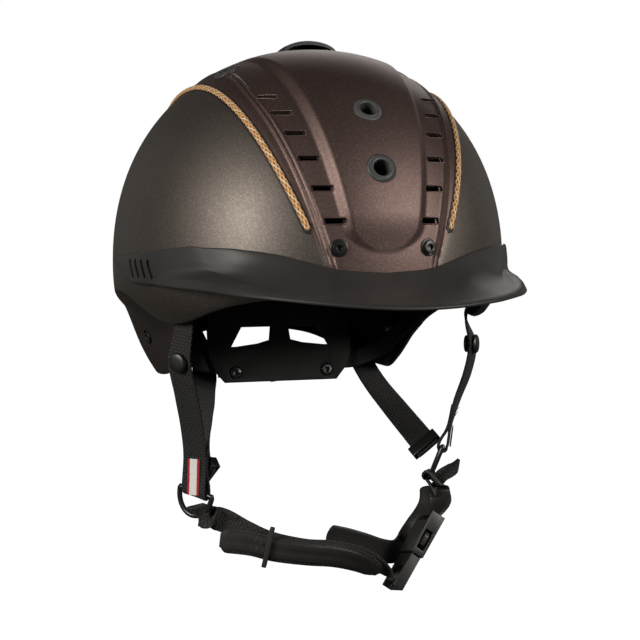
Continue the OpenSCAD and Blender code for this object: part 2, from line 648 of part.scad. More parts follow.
// Rack: teeth on the side that faces the pinion, below it on the left and above it on the right
rack_teeth = 4;
rack_tail = 17;
rack_reach = 43;
tab_from = 25;
module rack_outline() {
    tooth = [[-0.33, 1.2], [-0.2, 0], [-0.09, -0.85], [0.09, -0.85], [0.2, 0], [0.33, 1.2]];
    root = pinion_r + 1.2;
    back = housing_h / 2 - housing_wall - 0.1;
    polygon(concat([[-rack_tail, root]],
        [for (k = [-rack_teeth : rack_teeth])
             each [for (s = tooth) [(k + s[0]) * tooth_pitch, pinion_r + s[1]]]],
        [[tab_from, root], [tab_from, -3.6], [rack_reach, -3.6], [rack_reach, 4.6],
         [tab_from + 13, 4.6], [tab_from + 11, back], [-rack_tail, back]]));
}
module rack(side) {
    color(GREY) on_dial() translate([0, 0, 2.2]) linear_extrude(rack_t)
        rotate([0, 0, side > 0 ? 0 : 180]) rack_outline();
}

// Harness: anchors inside the shell, straps, dividers
function front_route(side) = [for (p = side > 0
    ? [[91.8, -50.5, -11], [82, -45, -28], [86.4, -43.6, -46], [86, -38, -64], [82, -33, -80],
       [80, -29.3, -94], [77.3, -27, -103.9]]
    : [[-91.8, -50.5, -11], [-82, -45.2, -28], [-84.2, -43.6, -51], [-79, -38, -70], [-74.5, -32, -88],
       [-72, -28.6, -104], [-71, -27.6, -120.4]]) with_shell(p)];
function front_across(side, t) =
    mix(mix([-0.36 * side, -0.93, 0], [-0.67 * side, -0.74, 0], soft_step(t * 4 - 0.6)),
        -side * ring_x(side), soft_step(t * 2 - 1));
module front_strap(side) {
    line = spline(front_route(side), 2);
    n = len(line) - 1;
    color(WEBBING) difference() {
        strap(line, [for (i = [0 : n]) front_across(side, i / n)], web_w, web_t);
        at_stud(side) cylinder(h = 20, r = shank_r + 0.03, center = true);
    }
}
function rear_route(side) = [for (p = side > 0
    ? [[50.8, 101, -30.1], [51.5, 84, -39], [54.5, 68, -51], [56, 57, -61.5], [58, 40.5, -74],
       [61.5, 19, -86], [66.5, -3, -99], [69.4, -14.5, -106.4], [70.4, -19.5, -109.2]]
    : [[-49.4, 101, -30.6], [-46.5, 86, -42], [-43, 68, -58], [-44, 56, -69], [-48, 45, -77.5],
       [-53, 28, -85], [-59, 8, -92], [-64, -10, -100], [-66, -22, -110], [-64.5, -30, -117]]) with_shell(p)];
function rear_across(side, t) =
    mix([0.97, -0.1 * side, 0], side > 0 ? [0.74, -0.22, 0.64] : [0.35, -0.6, 0.7],
        soft_step(t * 1.5 - 0.5));
module rear_strap(side) {
    line = spline(rear_route(side), 2);
    n = len(line) - 1;
    color(WEBBING) strap(line, [for (i = [0 : n]) rear_across(side, i / n)], web_w, web_t);
}
// Loops that hold the upper ends of the straps, in the frame of the strap's first stretch
anchor_t = 4.4;
module anchor(route, out) {
    y = unit(route[0] - route[1]);
    z = unit(out - (out * y) * y);
    stand(route[0], cross(y, z), y, z) difference() {
        translate([0, 0, -anchor_t / 2 - gap]) linear_extrude(anchor_t) children();
        translate([0, -3.4, 0]) cube([web_w + 1, 7.2, web_t + 1.9], center = true);
    }
}
module front_anchors() {
    color(BLACK) for (side = [-1, 1]) anchor(front_route(side), [0.93 * side, -0.36, 0])
        translate([0, -2.1]) square([web_w + 3, 7.4], center = true);
}
module rear_anchors() {
    w = web_w / 2 + 2;
    color(BLACK) {
        anchor(rear_route(1), [0, 0, 1]) polygon([[-w, -6], [w, -6], [w, 0.8], [-w, 14.6]]);
        anchor(rear_route(-1), [0, 0, 1]) polygon([[-w, -6], [w, -6], [w, 14], [-w, 4.5]]);
    }
}
shank_r = 2;
// Stands square on the front strap, with the local z outwards
module at_stud(side) {
    line = spline(front_route(side), 2);
    t = tangent(line, 4);
    a = front_across(side, 4 / (len(line) - 1));
    x = unit(a - (a * t) * t);
    z = -side * cross(t, x);
    stand(line[4], x, cross(z, x), z) children();
}
module stud(side) {
    front = web_t / 2 + 0.8;
    back = -web_t / 2 - 1.8;
    color(GREY) at_stud(side) {
        translate([0, 0, front]) cylinder(h = 1.6, r = stud_d / 2);
        translate([0, 0, front + 1.6]) cylinder(h = 0.7, r1 = stud_d / 2, r2 = stud_d / 2 - 1.2);
        translate([0, 0, back - 1.4]) cylinder(h = 1.4, r = stud_d / 2 - 0.6);
        translate([0, 0, back - 1]) cylinder(h = front - back + 1.5, r = shank_r);
    }
}

// Divider: a D-shaped ring whose straight bar carries the front strap
divider_w = 24;
divider_t = 2.8;
divider_bar = 3;
function divider_h(side) = side > 0 ? 22 : 16.5;
function divider_at(side) = side > 0 ? [76.2, -26.6, -105.5] : [-71, -27.6, -122.5];
function ring_x(side) =
    side > 0 ? unit(cross([0.41, 0, 0.91], [0.9, -0.44, -0.4])) : unit([0.67, -0.74, -0.22]);
module in_divider(side) {
    up = side > 0 ? [0.41, 0, 0.91] : [0, 0, 1];
    x = ring_x(side);
    y = unit(up - (up * x) * x);
    stand(divider_at(side), x, y, cross(x, y)) children();
}
module divider_outline(height, shrink) {
    r = height - shrink;
    w = divider_w / 2 - shrink;
    polygon(concat([[w, -shrink], [-w, -shrink]],
                   [for (k = [1 : 15]) let(a = 180 + 180 * k / 16) [w * cos(a), -2 + (r - 2) * sin(a)]]));
}
module divider(side) {
    color(BLACK) in_divider(side) translate([0, 0, -divider_t / 2]) linear_extrude(divider_t) difference() {
        divider_outline(divider_h(side), 0);
        divider_outline(divider_h(side), divider_bar);
    }
}
module slider(side) {
    route = rear_route(side);
    n = len(route) - 1;
    t = unit(route[n] - route[n - 1]);
    a = rear_across(side, 1);
    x = unit(a - (a * t) * t);
    color(BLACK) stand(mix(route[n - 1], route[n], side > 0 ? 0.1 : 0.6), x, cross(t, x), t) difference() {
        cube([web_w + 4, 5, 7], center = true);
        cube([web_w + 1.6, web_t + 1.8, 8], center = true);
    }
}
module stripe_tab(side) {
    route = front_route(side);
    n = len(route) - 1;
    out = unit([0.74 * side, -0.67, 0]);
    reach = side > 0 ? 1.1 : 1.2;
    line = [for (t = [0, 0.35, 0.7, 1])
        mix(route[n - 1], route[n], t * reach + 0.1) + out * (web_t + 0.4 + 1.1 * t)];
    color([0.8, 0.78, 0.76]) strap(line, [for (p = line) front_across(side, 0.9)], 8.6, 0.9);
}

// Chin strap, its padded sleeve and the keeper
CHIN = [[-63.72, -30.08, -134.43], [-57.5, -33.5, -139.5], [-47, -39, -145.5], [-34, -45, -151.5],
        [-16, -50, -155.5], [0, -52, -157], [16, -52.5, -161.5], [27, -51.5, -168], [32.6, -49.9, -173.4]];
CHIN_ACROSS = [[0.45, 0.2, 0.85], [0.3, 0.1, 0.9], [0.2, 0, 1], [0.1, 0, 1], [0, -0.1, 1], [0, -0.2, 1],
               [0, -0.4, 0.9], [-0.1, -0.75, 0.7], [-0.15, -0.95, 0.35]];
module chin_strap() {
    color(WEBBING) strap(spline(CHIN, 2), spline(CHIN_ACROSS, 2), web_w - 2, web_t);
}
SLEEVE = [[-61, -38.6, -149], [-45, -43.6, -151], [-33, -48.8, -154], [-16, -53.3, -156.6],
          [0, -55.3, -158.6], [14, -55.8, -163], [25, -54.8, -170]];
module chin_sleeve() {
    line = spline(SLEEVE, 3);
    n = len(line) - 1;
    across = spline([for (i = [0 : 6]) CHIN_ACROSS[i + 1]], 3);
    color(BLACK) skin([for (i = [0 : n])
        let(t = tangent(line, i), w = unit(across[i] - (across[i] * t) * t), m = cross(t, w),
            e = sin(180 * min(max(i / n, 0.04), 0.96)), h = 0.7 + 1.1 * pow(e, 0.5))
        [for (k = [0 : 9]) let(a = 36 * k) line[i] + w * cos(a) * sleeve_w / 2 + m * sin(a) * h]]);
}
keeper_at = [-36, -46.9, -153];
keeper_way = unit([0.92, -0.36, -0.22]);
module keeper_ring() {
    y = unit([0.2, 0, 1] - ([0.2, 0, 1] * keeper_way) * keeper_way);
    color(BLACK) stand(keeper_at, cross(y, keeper_way), y, keeper_way) difference() {
        cube([10.4, sleeve_w + 7.6, 2.6], center = true);
        cube([8.6, sleeve_w + 6, 4], center = true);
    }
}

// Buckle frame: z runs from the plug's bar up to the socket, x is the buckle's width
BAR = [37, -48, -179];
TOP = [62.3, -41.8, -144.4];
buckle_z = unit(TOP - BAR);
buckle_side = unit([-0.32, -0.947, 0.037] - ([-0.32, -0.947, 0.037] * buckle_z) * buckle_z);
buckle_roll = 6;
module in_buckle() {
    stand(BAR, buckle_side, cross(buckle_z, buckle_side), buckle_z) rotate([0, 0, buckle_roll]) children();
}
bar_d = 3;
module buckle_plug() {
    w = buckle_w;
    t = buckle_t;
    color(BLACK) in_buckle() {
        difference() {
            translate([-w / 2, -t * 0.36, -2]) cube([w, t * 0.72, plug_length + 1.6]);
            translate([-web_w / 2 - 0.8, -t, 1.8]) cube([web_w + 1.6, 2 * t, 9]);
            translate([-web_w / 2 - 0.8, -t, -2.2]) cube([web_w + 1.6, t + 1.2, 3]);
        }
        translate([-2.6, -1.4, plug_length - 1]) cube([5.2, 2.8, 16]);
    }
}
module prong(side) {
    x = buckle_w / 2;
    color(BLACK) in_buckle() translate([0, 1.5, 0]) rotate([90, 0, 0]) linear_extrude(3)
        polygon([for (p = [[x - 6.4, -0.2], [x - 3.6, -0.2], [x - 3.2, 5], [x - 0.9, 6.4], [x - 0.6, 12],
                           [x - 3.2, 17], [x - 5.4, 17], [x - 5.4, 6]])
                     [p[0] * side, plug_length + p[1]]]);
}
module buckle_socket() {
    w = buckle_w;
    t = buckle_t;
    z0 = plug_length + 0.2;
    color(BLACK) in_buckle() difference() {
        translate([-w / 2, -t / 2, z0]) cube([w, t, socket_length]);
        translate([-w / 2 + 0.8, -t / 2 + 1.8, z0 - 1]) cube([w - 1.6, t - 3.6, 20]);
        for (s = [-1, 1]) translate([s * w / 2, 0, z0 + 9.4]) cube([12, t - 3.6, 11.6], center = true);
        translate([-web_w / 2 - 0.8, -t, z0 + socket_length - 5.6]) cube([web_w + 1.6, 2 * t, 3]);
    }
}
// Strap from the left divider to the socket
LOOP = [[70.2, -28.6, -128], [71.5, -31, -131.5], [70.5, -35.3, -136], [66, -40, -140.5],
        [63.4, -41.2, -142]];
LOOP_ACROSS = [[0.9, -0.3, 0.1], [0.9, -0.3, 0.1], [0.9, -0.3, 0.1], [0.5, -0.8, 0.1], [0.3, -0.92, 0]];
module socket_strap() {
    color(WEBBING) strap(spline(LOOP, 3), spline(LOOP_ACROSS, 3), web_w - 2, 2.4);
}
// Leather guard behind the buckle, from the divider down and forward under the chin
GUARD_LINE = [[69.2, -21.8, -130], [68.5, -22.6, -139], [63, -24, -147.5], [58.4, -24.5, -155],
              [52.6, -26.5, -161.6], [43, -33, -163.9], [32.6, -37.6, -161.5], [20, -40.8, -156.4],
              [10, -41, -153], [0, -40.5, -150.5]];
GUARD_ACROSS = [[0.4, -0.9, 0], [0.4, -0.92, 0.1], [0.5, -0.85, 0.1], [0.7, -0.6, -0.2],
                [0.5, -0.3, -0.8], [0.05, 0, -1], [-0.2, 0.1, -1], [-0.25, 0.1, -1],
                [-0.25, 0.1, -1], [-0.25, 0.1, -1]];
module buckle_guard() {
    line = spline(GUARD_LINE, 2);
    color(BLACK) strap(line, spline(GUARD_ACROSS, 2), 13.5, 1.6);
}
TIP = [[75.12, -29.42, -122.4], [80, -31.5, -119], [83.5, -32.5, -113.5]];
module strap_tip() {
    line = spline(TIP, 2);
    color(WEBBING) strap(line, [for (p = line) [0.4, 0.1, 0.9]], 7, 1.2);
}

outer_shell();
centre_panel();
piping(1);  // left_piping
piping(-1);  // right_piping
top_scoop();
eyelet(0);  // lower_front_eyelet
eyelet(1);  // upper_front_eyelet
eyelet(2);  // left_crown_eyelet
eyelet(3);  // right_crown_eyelet
visor();
visor_screws();
visor_nuts();
neck_guard();
neck_guard_screws();
neck_guard_nuts();
foam_liner();
brow_pad();
crown_pad();
side_pad(1);  // left_side_pad
side_pad(-1);  // right_side_pad
nape_cradle();
cradle_screws();
band(1);  // left_band
band(-1);  // right_band
band_pivot(1);  // left_pivot
band_pivot(-1);  // right_pivot
dial_housing();
dial_knob();
dial_pinion();
rack(1);  // left_rack
rack(-1);  // right_rack
front_anchors();
rear_anchors();
front_strap(1);  // left_front_strap
front_strap(-1);  // right_front_strap
rear_strap(1);  // left_rear_strap
rear_strap(-1);  // right_rear_strap
stud(1);  // left_stud
stud(-1);  // right_stud
divider(1);  // left_divider
divider(-1);  // right_divider
slider(1);  // left_slider
slider(-1);  // right_slider
stripe_tab(1);  // left_stripe_tab
stripe_tab(-1);  // right_stripe_tab
chin_strap();
chin_sleeve();
keeper_ring();
buckle_plug();
prong(1);  // left_prong
prong(-1);  // right_prong
buckle_socket();
socket_strap();
buckle_guard();
strap_tip();
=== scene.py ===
"""Riding helmet: smooth pieces, materials, camera and light over the packed frame.

Lengths in this file are millimetres until a mesh is made. +Z up, -Y the front, +X the wearer's left.
"""
import math

import bmesh
import bpy
import numpy as np
from bpy.props import FloatProperty, FloatVectorProperty, PointerProperty
from mathutils import Matrix, Vector


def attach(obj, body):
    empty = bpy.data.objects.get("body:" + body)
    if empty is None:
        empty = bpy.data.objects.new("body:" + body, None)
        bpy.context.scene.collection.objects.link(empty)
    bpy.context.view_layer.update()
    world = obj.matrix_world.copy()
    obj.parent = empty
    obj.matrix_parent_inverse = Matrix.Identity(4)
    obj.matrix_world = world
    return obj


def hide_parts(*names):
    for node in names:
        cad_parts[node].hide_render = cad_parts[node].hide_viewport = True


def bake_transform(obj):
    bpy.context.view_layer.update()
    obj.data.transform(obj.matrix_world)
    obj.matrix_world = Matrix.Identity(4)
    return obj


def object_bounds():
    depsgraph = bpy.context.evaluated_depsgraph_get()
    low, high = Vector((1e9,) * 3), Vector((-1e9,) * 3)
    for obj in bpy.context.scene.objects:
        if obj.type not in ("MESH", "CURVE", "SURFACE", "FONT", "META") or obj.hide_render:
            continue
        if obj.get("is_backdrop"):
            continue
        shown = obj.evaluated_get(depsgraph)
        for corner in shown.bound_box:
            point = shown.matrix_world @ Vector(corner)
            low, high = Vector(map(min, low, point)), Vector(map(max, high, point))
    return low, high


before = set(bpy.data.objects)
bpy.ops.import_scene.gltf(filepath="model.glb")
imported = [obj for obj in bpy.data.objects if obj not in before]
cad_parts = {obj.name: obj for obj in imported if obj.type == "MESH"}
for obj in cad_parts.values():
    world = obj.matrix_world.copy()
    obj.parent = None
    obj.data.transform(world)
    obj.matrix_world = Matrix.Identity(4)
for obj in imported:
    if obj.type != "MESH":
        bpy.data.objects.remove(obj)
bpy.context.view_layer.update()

bl_info = {
    "name": "Riding helmet",
    "version": (1, 0, 0),
    "blender": (4, 5, 0),
    "location": "3D View > Sidebar > Helmet",
    "description": "Builds a riding helmet with its harness over a packed frame",
    "category": "Object",
}

MM = 0.001
RAD = math.pi / 180
SIDES = ((1, "left"), (-1, "right"))


# --- sizes and colours ---
def metres(name, text, value):
    return FloatProperty(name=name, description=text, default=value, unit="LENGTH")


def tint(name, text, value):
    return FloatVectorProperty(name=name, description=text, subtype="COLOR", size=3, default=value)


class HelmetSettings(bpy.types.PropertyGroup):
    """Sizes and colours of the helmet."""

    web_width: metres("Webbing width", "Width of the harness webbing", 0.015)
    web_thick: metres("Webbing thickness", "Thickness of the webbing", 0.0014)
    piping: metres("Piping", "Diameter of the piping cord", 0.0034)
    nose_rise: metres("Raised middle", "Height of the raised middle of the panel", 0.0036)
    rib_rise: metres("Rib", "Height of the two fine ribs on the panel", 0.0007)
    visor_fold: metres("Visor fold", "Step along the fold in the peak", 0.0016)
    shell_colour: tint("Shell", "Paint of the shell", (0.165, 0.145, 0.129))
    panel_colour: tint("Panel", "Paint of the centre panel", (0.162, 0.110, 0.099))
    gold_colour: tint("Piping colour", "Braid of the piping", (0.80, 0.45, 0.19))
    black_colour: tint("Black plastic", "Moulded black parts", (0.020, 0.020, 0.0195))
    web_colour: tint("Webbing colour", "Harness webbing", (0.0095, 0.0095, 0.0095))


def cfg():
    return bpy.context.scene.helmet_settings


# --- the egg that the shell follows ---
# Half width, length to the front and to the rear, and height
HALF, FRONT, REAR, CROWN = 107.0, 128.3, 132.2, 119.6
# Depth of the part below the widest level, in front and behind
LOW_FRONT, LOW_REAR = 60.0, 108.0
# Exponents of the plan and of the profile
PLAN_N, SIDE_N = 2.14, 2.13
# [longitude, height] of the shell's rim
RIM = [[0, -11], [28, -14], [38, -18], [44, -21.5], [51, -26], [60, -29.5], [70, -29.5], [76, -25.5],
       [84, -19], [92, -15], [180, -15]]


def soft(t):
    t = np.clip(t, 0.0, 1.0)
    return t * t * (3 - 2 * t)


def mix(a, b, t):
    return a * (1 - t) + b * t


def lookup(x, table, blur):
    """Table value at |x|, averaged over a small window so that its corners are round."""
    xs, ys = zip(*table)
    x = np.abs(np.asarray(x, float))
    return sum(np.interp(np.abs(x + d), xs, ys) for d in np.linspace(-blur, blur, 9)) / 9


def unit(v):
    v = np.asarray(v, float)
    return v / np.linalg.norm(v, axis=-1, keepdims=True)


def plan_radius(lon, off=0.0):
    s, c = np.sin(lon * RAD), np.cos(lon * RAD)
    length = np.where(c > 0, FRONT, REAR) + off
    return (np.abs(s / (HALF + off)) ** PLAN_N + np.abs(c / length) ** PLAN_N) ** (-1 / PLAN_N)


def level_scale(z, depth):
    return np.maximum(0, 1 - np.abs(z / depth) ** SIDE_N) ** (1 / SIDE_N)


def low_depth(lon):
    return mix(LOW_FRONT, LOW_REAR, soft((np.abs(lon) - 82) / 30))


def polar(lon, r, z):
    lon, r, z = np.broadcast_arrays(lon * 1.0, r, z)
    return np.stack([r * np.sin(lon * RAD), -r * np.cos(lon * RAD), z], -1)


def egg_at(lon, z, off=0.0):
    depth = np.where(z < 0, low_depth(lon), CROWN) + off
    return polar(lon, plan_radius(lon, off) * level_scale(z, depth), z)


def egg_way(side, over, off=0.0):
    """Point of the egg in the direction aside by `side` and over the head by `over` degrees."""
    s, o = np.asarray(side, float) * RAD, np.asarray(over, float) * RAD
    s, o = np.broadcast_arrays(s, o)
    d = np.stack([np.sin(s), -np.cos(s) * np.cos(o), np.cos(s) * np.sin(o)], -1)
    off = np.asarray(off, float)
    length = np.where(d[..., 1] < 0, FRONT, REAR) + off
    h = np.abs(d[..., 0] / (HALF + off)) ** PLAN_N + np.abs(d[..., 1] / length) ** PLAN_N
    c = np.where(d[..., 2] < 0, LOW_FRONT, CROWN) + off
    r = (h ** (SIDE_N / PLAN_N) + np.abs(d[..., 2] / c) ** SIDE_N) ** (-1 / SIDE_N)
    return d * r[..., None]


def egg_normal(p):
    p = np.asarray(p, float)
    length = np.where(p[..., 1] < 0, FRONT, REAR)
    x, y, z = np.abs(p[..., 0] / HALF), np.abs(p[..., 1] / length), np.abs(p[..., 2] / CROWN)
    k = np.maximum(x ** PLAN_N + y ** PLAN_N, 1e-4) ** (SIDE_N / PLAN_N - 1)
    return unit(np.stack([k * x ** (PLAN_N - 1) / HALF * np.sign(p[..., 0]),
                          k * y ** (PLAN_N - 1) / length * np.sign(p[..., 1]),
                          z ** (SIDE_N - 1) / CROWN * np.sign(p[..., 2])], -1))


def over_of(p):
    return np.degrees(np.arctan2(p[..., 2], -p[..., 1]))


def aside_of(p):
    return np.degrees(np.arcsin(p[..., 0] / np.linalg.norm(p, axis=-1)))


def rib_angle(over):
    return 12.4 + 0.29 * over - 0.00145 * over * over * mix(0.6, 0.9, soft((over - 45) / 30))


def piping_angle(over):
    return 13.5 + 0.42 * over - 0.0021 * over * over


def panel_edge(over):
    return np.maximum(piping_angle(over) - 0.3, rib_angle(over) + 0.9)


def nose_angle(over):
    full = 7.4 + 0.19 * over - 0.0006 * over * over
    return np.where(over < 10, full * np.sqrt(np.clip(1 - ((10 - over) / 6) ** 2, 0, 1)), full)


# Angle over the head of each pair of slots
SLOT_OVER = [50, 42.3, 34.8, 27.1, 19.2, 11.3]
# Angle aside, angle over the head and lift above the shell of each eyelet
EYELETS = {"lower_front_eyelet": (0, 22.7, 3.24), "upper_front_eyelet": (0, 38.3, 3.24),
           "left_crown_eyelet": (25.5, 79, 0.0), "right_crown_eyelet": (-25.5, 79, 0.0)}
SCREWS = [(10.7, 5.2), (-10.7, 5.2)]


def slot_side(over):
    return 8.3 + 0.285 * over - 0.0005 * over * over


SLOTS = [(s * slot_side(o), o) for o in SLOT_OVER for s in (-1, 1)]
HOLES = [(s, o) for s, o, _ in EYELETS.values()]
# Length, width and corner of a slot; radii of the round holes; the left pivot of the cradle
SLOT = (9, 2.8, 0.7)
BARREL_R, SCREW_R, PIVOT_R = 5.6, 1.6, 3.05
PIVOT = (76, -18, -8)


def basis(at, z):
    """4x4 with the local +Z along z and the local x as level as it can be."""
    z = unit(z)
    x = np.cross([0, 0, 1], z) if np.hypot(z[0], z[1]) > 0.01 else np.array([1.0, 0, 0])
    x = unit(x - np.dot(x, z) * z)
    m = np.eye(4)
    m[:3, 0], m[:3, 1], m[:3, 2], m[:3, 3] = x, np.cross(z, x), z, at
    return m


def vent_frame(side, over):
    p = egg_way(side, over)
    return basis(p, egg_normal(p))


def moved(points, m):
    return np.asarray(points, float) @ m[:3, :3].T + m[:3, 3]


# --- mesh helpers ---
def mesh_object(name, verts, faces, uvs=None, material=None, angle=35):
    """Object at the origin from points in millimetres; uvs holds one (u, v) a vertex in millimetres."""
    mesh = bpy.data.meshes.new(name)
    mesh.from_pydata((np.asarray(verts, float) * MM).tolist(), [], [list(map(int, f)) for f in faces])
    mesh.validate()
    if uvs is not None:
        layer = mesh.uv_layers.new(name="UVMap")
        index = np.zeros(len(mesh.loops), int)
        mesh.loops.foreach_get("vertex_index", index)
        layer.data.foreach_set("uv", np.asarray(uvs, np.float32)[index].ravel())
    bm = bmesh.new()
    bm.from_mesh(mesh)
    bmesh.ops.recalc_face_normals(bm, faces=bm.faces)
    bm.to_mesh(mesh)
    bm.free()
    finish_mesh(mesh, angle)
    if material:
        mesh.materials.append(material)
    obj = bpy.data.objects.new(name, mesh)
    bpy.context.scene.collection.objects.link(obj)
    return obj


def finish_mesh(mesh, angle):
    mesh.polygons.foreach_set("use_smooth", [True] * len(mesh.polygons))
    if angle:
        mesh.set_sharp_from_angle(angle=angle * RAD)
    mesh.update()


def tube_faces(rings, n, closed=False, caps=True):
    """Faces between rings of n points each."""
    faces = []
    for j in range(rings if closed else rings - 1):
        a, b = j * n, ((j + 1) % rings) * n
        faces += [(a + i, a + (i + 1) % n, b + (i + 1) % n, b + i) for i in range(n)]
    if caps and not closed:
        faces += [tuple(range(n - 1, -1, -1)), tuple((rings - 1) * n + i for i in range(n))]
    return faces


def ladder_caps(rings, n):
    """End faces of a thin section whose second half runs back along its first."""
    return [(start + k, start + k + 1, start + n - 2 - k, start + n - 1 - k)
            for start in (0, (rings - 1) * n) for k in range(n // 2 - 1)]


def skin(name, rings, material, closed=False, uvs=None, ladder=False, angle=35):
    """Closed body through rings of equal length, each ring a closed loop of points."""
    rings = np.asarray(rings, float)
    m, n = rings.shape[:2]
    faces = tube_faces(m, n, closed, caps=not ladder)
    if ladder and not closed:
        faces += ladder_caps(m, n)
    return mesh_object(name, rings.reshape(-1, 3), faces, uvs, material, angle)


def circle(r, steps=40):
    angles = [2 * math.pi * k / steps for k in range(steps)]
    return [(r * math.cos(a), r * math.sin(a)) for a in angles]


def lathe(name, profile, m, material, steps):
    """Closed profile of (radius, height) turned about the local Z of m."""
    rings = [[(r * x, r * y, z) for r, z in profile] for x, y in circle(1, steps)]
    return skin(name, moved(np.array(rings), m), material, closed=True, angle=30)


def round_profile(points, radius, steps=4):
    """Rounds the corners of a closed profile."""
    points = np.asarray(points, float)
    out = []
    for i, p in enumerate(points):
        a, b = points[i - 1] - p, points[(i + 1) % len(points)] - p
        la, lb = np.linalg.norm(a), np.linalg.norm(b)
        r = min(radius, la * 0.45, lb * 0.45)
        start, end = p + a / la * r, p + b / lb * r
        for k in range(steps + 1):
            t = k / steps
            out.append(start * (1 - t) ** 2 + 2 * p * t * (1 - t) + end * t * t)
    return np.array(out)


def spline(points, steps):
    """Smooth curve through the points, with `steps` pieces between two of them."""
    points = np.asarray(points, float)
    n = len(points)
    out = []
    for i in range(n - 1):
        p0, p1, p2, p3 = points[max(i - 1, 0)], points[i], points[i + 1], points[min(i + 2, n - 1)]
        for k in range(steps):
            t = k / steps
            out.append(0.5 * (2 * p1 + (p2 - p0) * t + (2 * p0 - 5 * p1 + 4 * p2 - p3) * t * t
                              + (3 * p1 - p0 - 3 * p2 + p3) * t ** 3))
    out.append(points[-1])
    return np.array(out)


def resampled(step, line, *others):
    """The line and its companions at even distances."""
    line = np.asarray(line, float)
    s = np.concatenate([[0], np.cumsum(np.linalg.norm(np.diff(line, axis=0), axis=1))])
    count = max(2, int(round(s[-1] / step)) + 1)
    at = np.linspace(0, s[-1], count)
    out = [np.stack([np.interp(at, s, np.asarray(v, float)[:, k]) for k in range(3)], 1)
           for v in (line, *others)]
    return (*out, at)


def frames_along(line, across):
    """Unit vectors along the line, across it and out of both."""
    t = unit(np.gradient(np.asarray(line, float), axis=0))
    w = unit(across - np.sum(across * t, 1)[:, None] * t)
    return t, w, np.cross(t, w)


def flat_section(width, thick):
    """Closed outline of a strap's section with round edges."""
    r = thick / 2
    xs = np.linspace(-width / 2 + r, width / 2 - r, 10)
    edge = np.linspace(math.pi / 2, -math.pi / 2, 5)[1:-1]
    right = [(width / 2 - r + r * math.cos(a), r * math.sin(a)) for a in edge]
    left = [(-x, z) for x, z in right[::-1]]
    return np.array([(x, r) for x in xs] + right + [(x, -r) for x in xs[::-1]] + left)


def ribbon(name, points, across, width, thick, material, steps=8, step=1.0, cup=0.0, swell=None,
           wave=0.0, seed=0):
    """Flat strap along a smooth curve. UVs are millimetres across and along.

    cup bends the section, wave and seed let the strap run unevenly, and swell(t) gives the factors of
    width and thickness at the share t of the length.
    """
    line, side, at = resampled(step, spline(points, steps), spline(across, steps))
    _, w, n = frames_along(line, side)
    phase = seed * 1.7
    if wave:
        line = line + n * (wave * np.sin(at / 7.3 + phase) * np.sin(at / 17.0 + phase))[:, None]
    rings, uvs = [], []
    for i, p in enumerate(line):
        scale_w, scale_t = swell(at[i] / at[-1]) if swell else (1.0, 1.0)
        sec = flat_section(width * scale_w, thick * scale_t)
        bend = cup * (sec[:, 0] / (width / 2)) ** 2
        rings.append(p + w[i] * sec[:, :1] + n[i] * (sec[:, 1:] + bend[:, None]))
        uvs += [(x, at[i]) for x in sec[:, 0]]
    return skin(name, rings, material, uvs=uvs, angle=50)


def prism(outline, m, low, high):
    """Vertices and faces of a straight prism over a closed outline."""
    outline = np.asarray(outline, float)
    n = len(outline)
    verts = np.vstack([np.column_stack([outline, np.full(n, z)]) for z in (low, high)])
    return moved(verts, m), tube_faces(2, n)


def rounded_rect(w, h, r):
    return round_profile([[-w / 2, -h / 2], [w / 2, -h / 2], [w / 2, h / 2], [-w / 2, h / 2]], r)


def joined(parts):
    """Vertices and faces of several (vertices, faces) pairs as one pair."""
    verts, faces, base = [], [], 0
    for v, f in parts:
        verts.append(v)
        faces += [tuple(i + base for i in face) for face in f]
        base += len(v)
    return np.vstack(verts), faces


def carve(obj, parts, angle=35):
    """Cuts closed prisms out of obj and leaves a plain mesh."""
    cutter = mesh_object(obj.name + "_cut", *joined(parts), angle=0)
    mod = obj.modifiers.new("cut", "BOOLEAN")
    mod.operation, mod.solver, mod.object = "DIFFERENCE", "EXACT", cutter
    plain(obj, angle)
    bpy.data.objects.remove(cutter, do_unlink=True)
    return obj


def plain(obj, angle=35):
    """Applies every modifier by taking the evaluated mesh."""
    graph = bpy.context.evaluated_depsgraph_get()
    graph.update()
    mesh = bpy.data.meshes.new_from_object(obj.evaluated_get(graph), depsgraph=graph)
    obj.modifiers.clear()
    obj.data = mesh
    finish_mesh(mesh, angle)
    return obj


def refined(node, material, body, width, segments=3):
    """A copy of a moulded CAD solid with edges rounded by width in metres; it stands for the node."""
    obj = bpy.data.objects.new(node + "_moulded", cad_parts[node].data.copy())
    bpy.context.scene.collection.objects.link(obj)
    obj.data.materials.clear()
    obj.data.materials.append(material)
    bm = bmesh.new()
    bm.from_mesh(obj.data)
    bmesh.ops.remove_doubles(bm, verts=bm.verts, dist=1e-6)
    bmesh.ops.dissolve_limit(bm, angle_limit=0.5 * RAD, verts=bm.verts, edges=bm.edges)
    for face in bm.faces:
        face.material_index = 0
    bm.to_mesh(obj.data)
    bm.free()
    mod = obj.modifiers.new("edge", "BEVEL")
    mod.width, mod.segments = width, segments
    mod.limit_method, mod.angle_limit = "ANGLE", 30 * RAD
    plain(obj, 40)
    return place(obj, body, node)


def place(obj, body, *nodes, slot=None):
    if nodes:
        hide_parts(*nodes)
    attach(obj, body)
    return obj


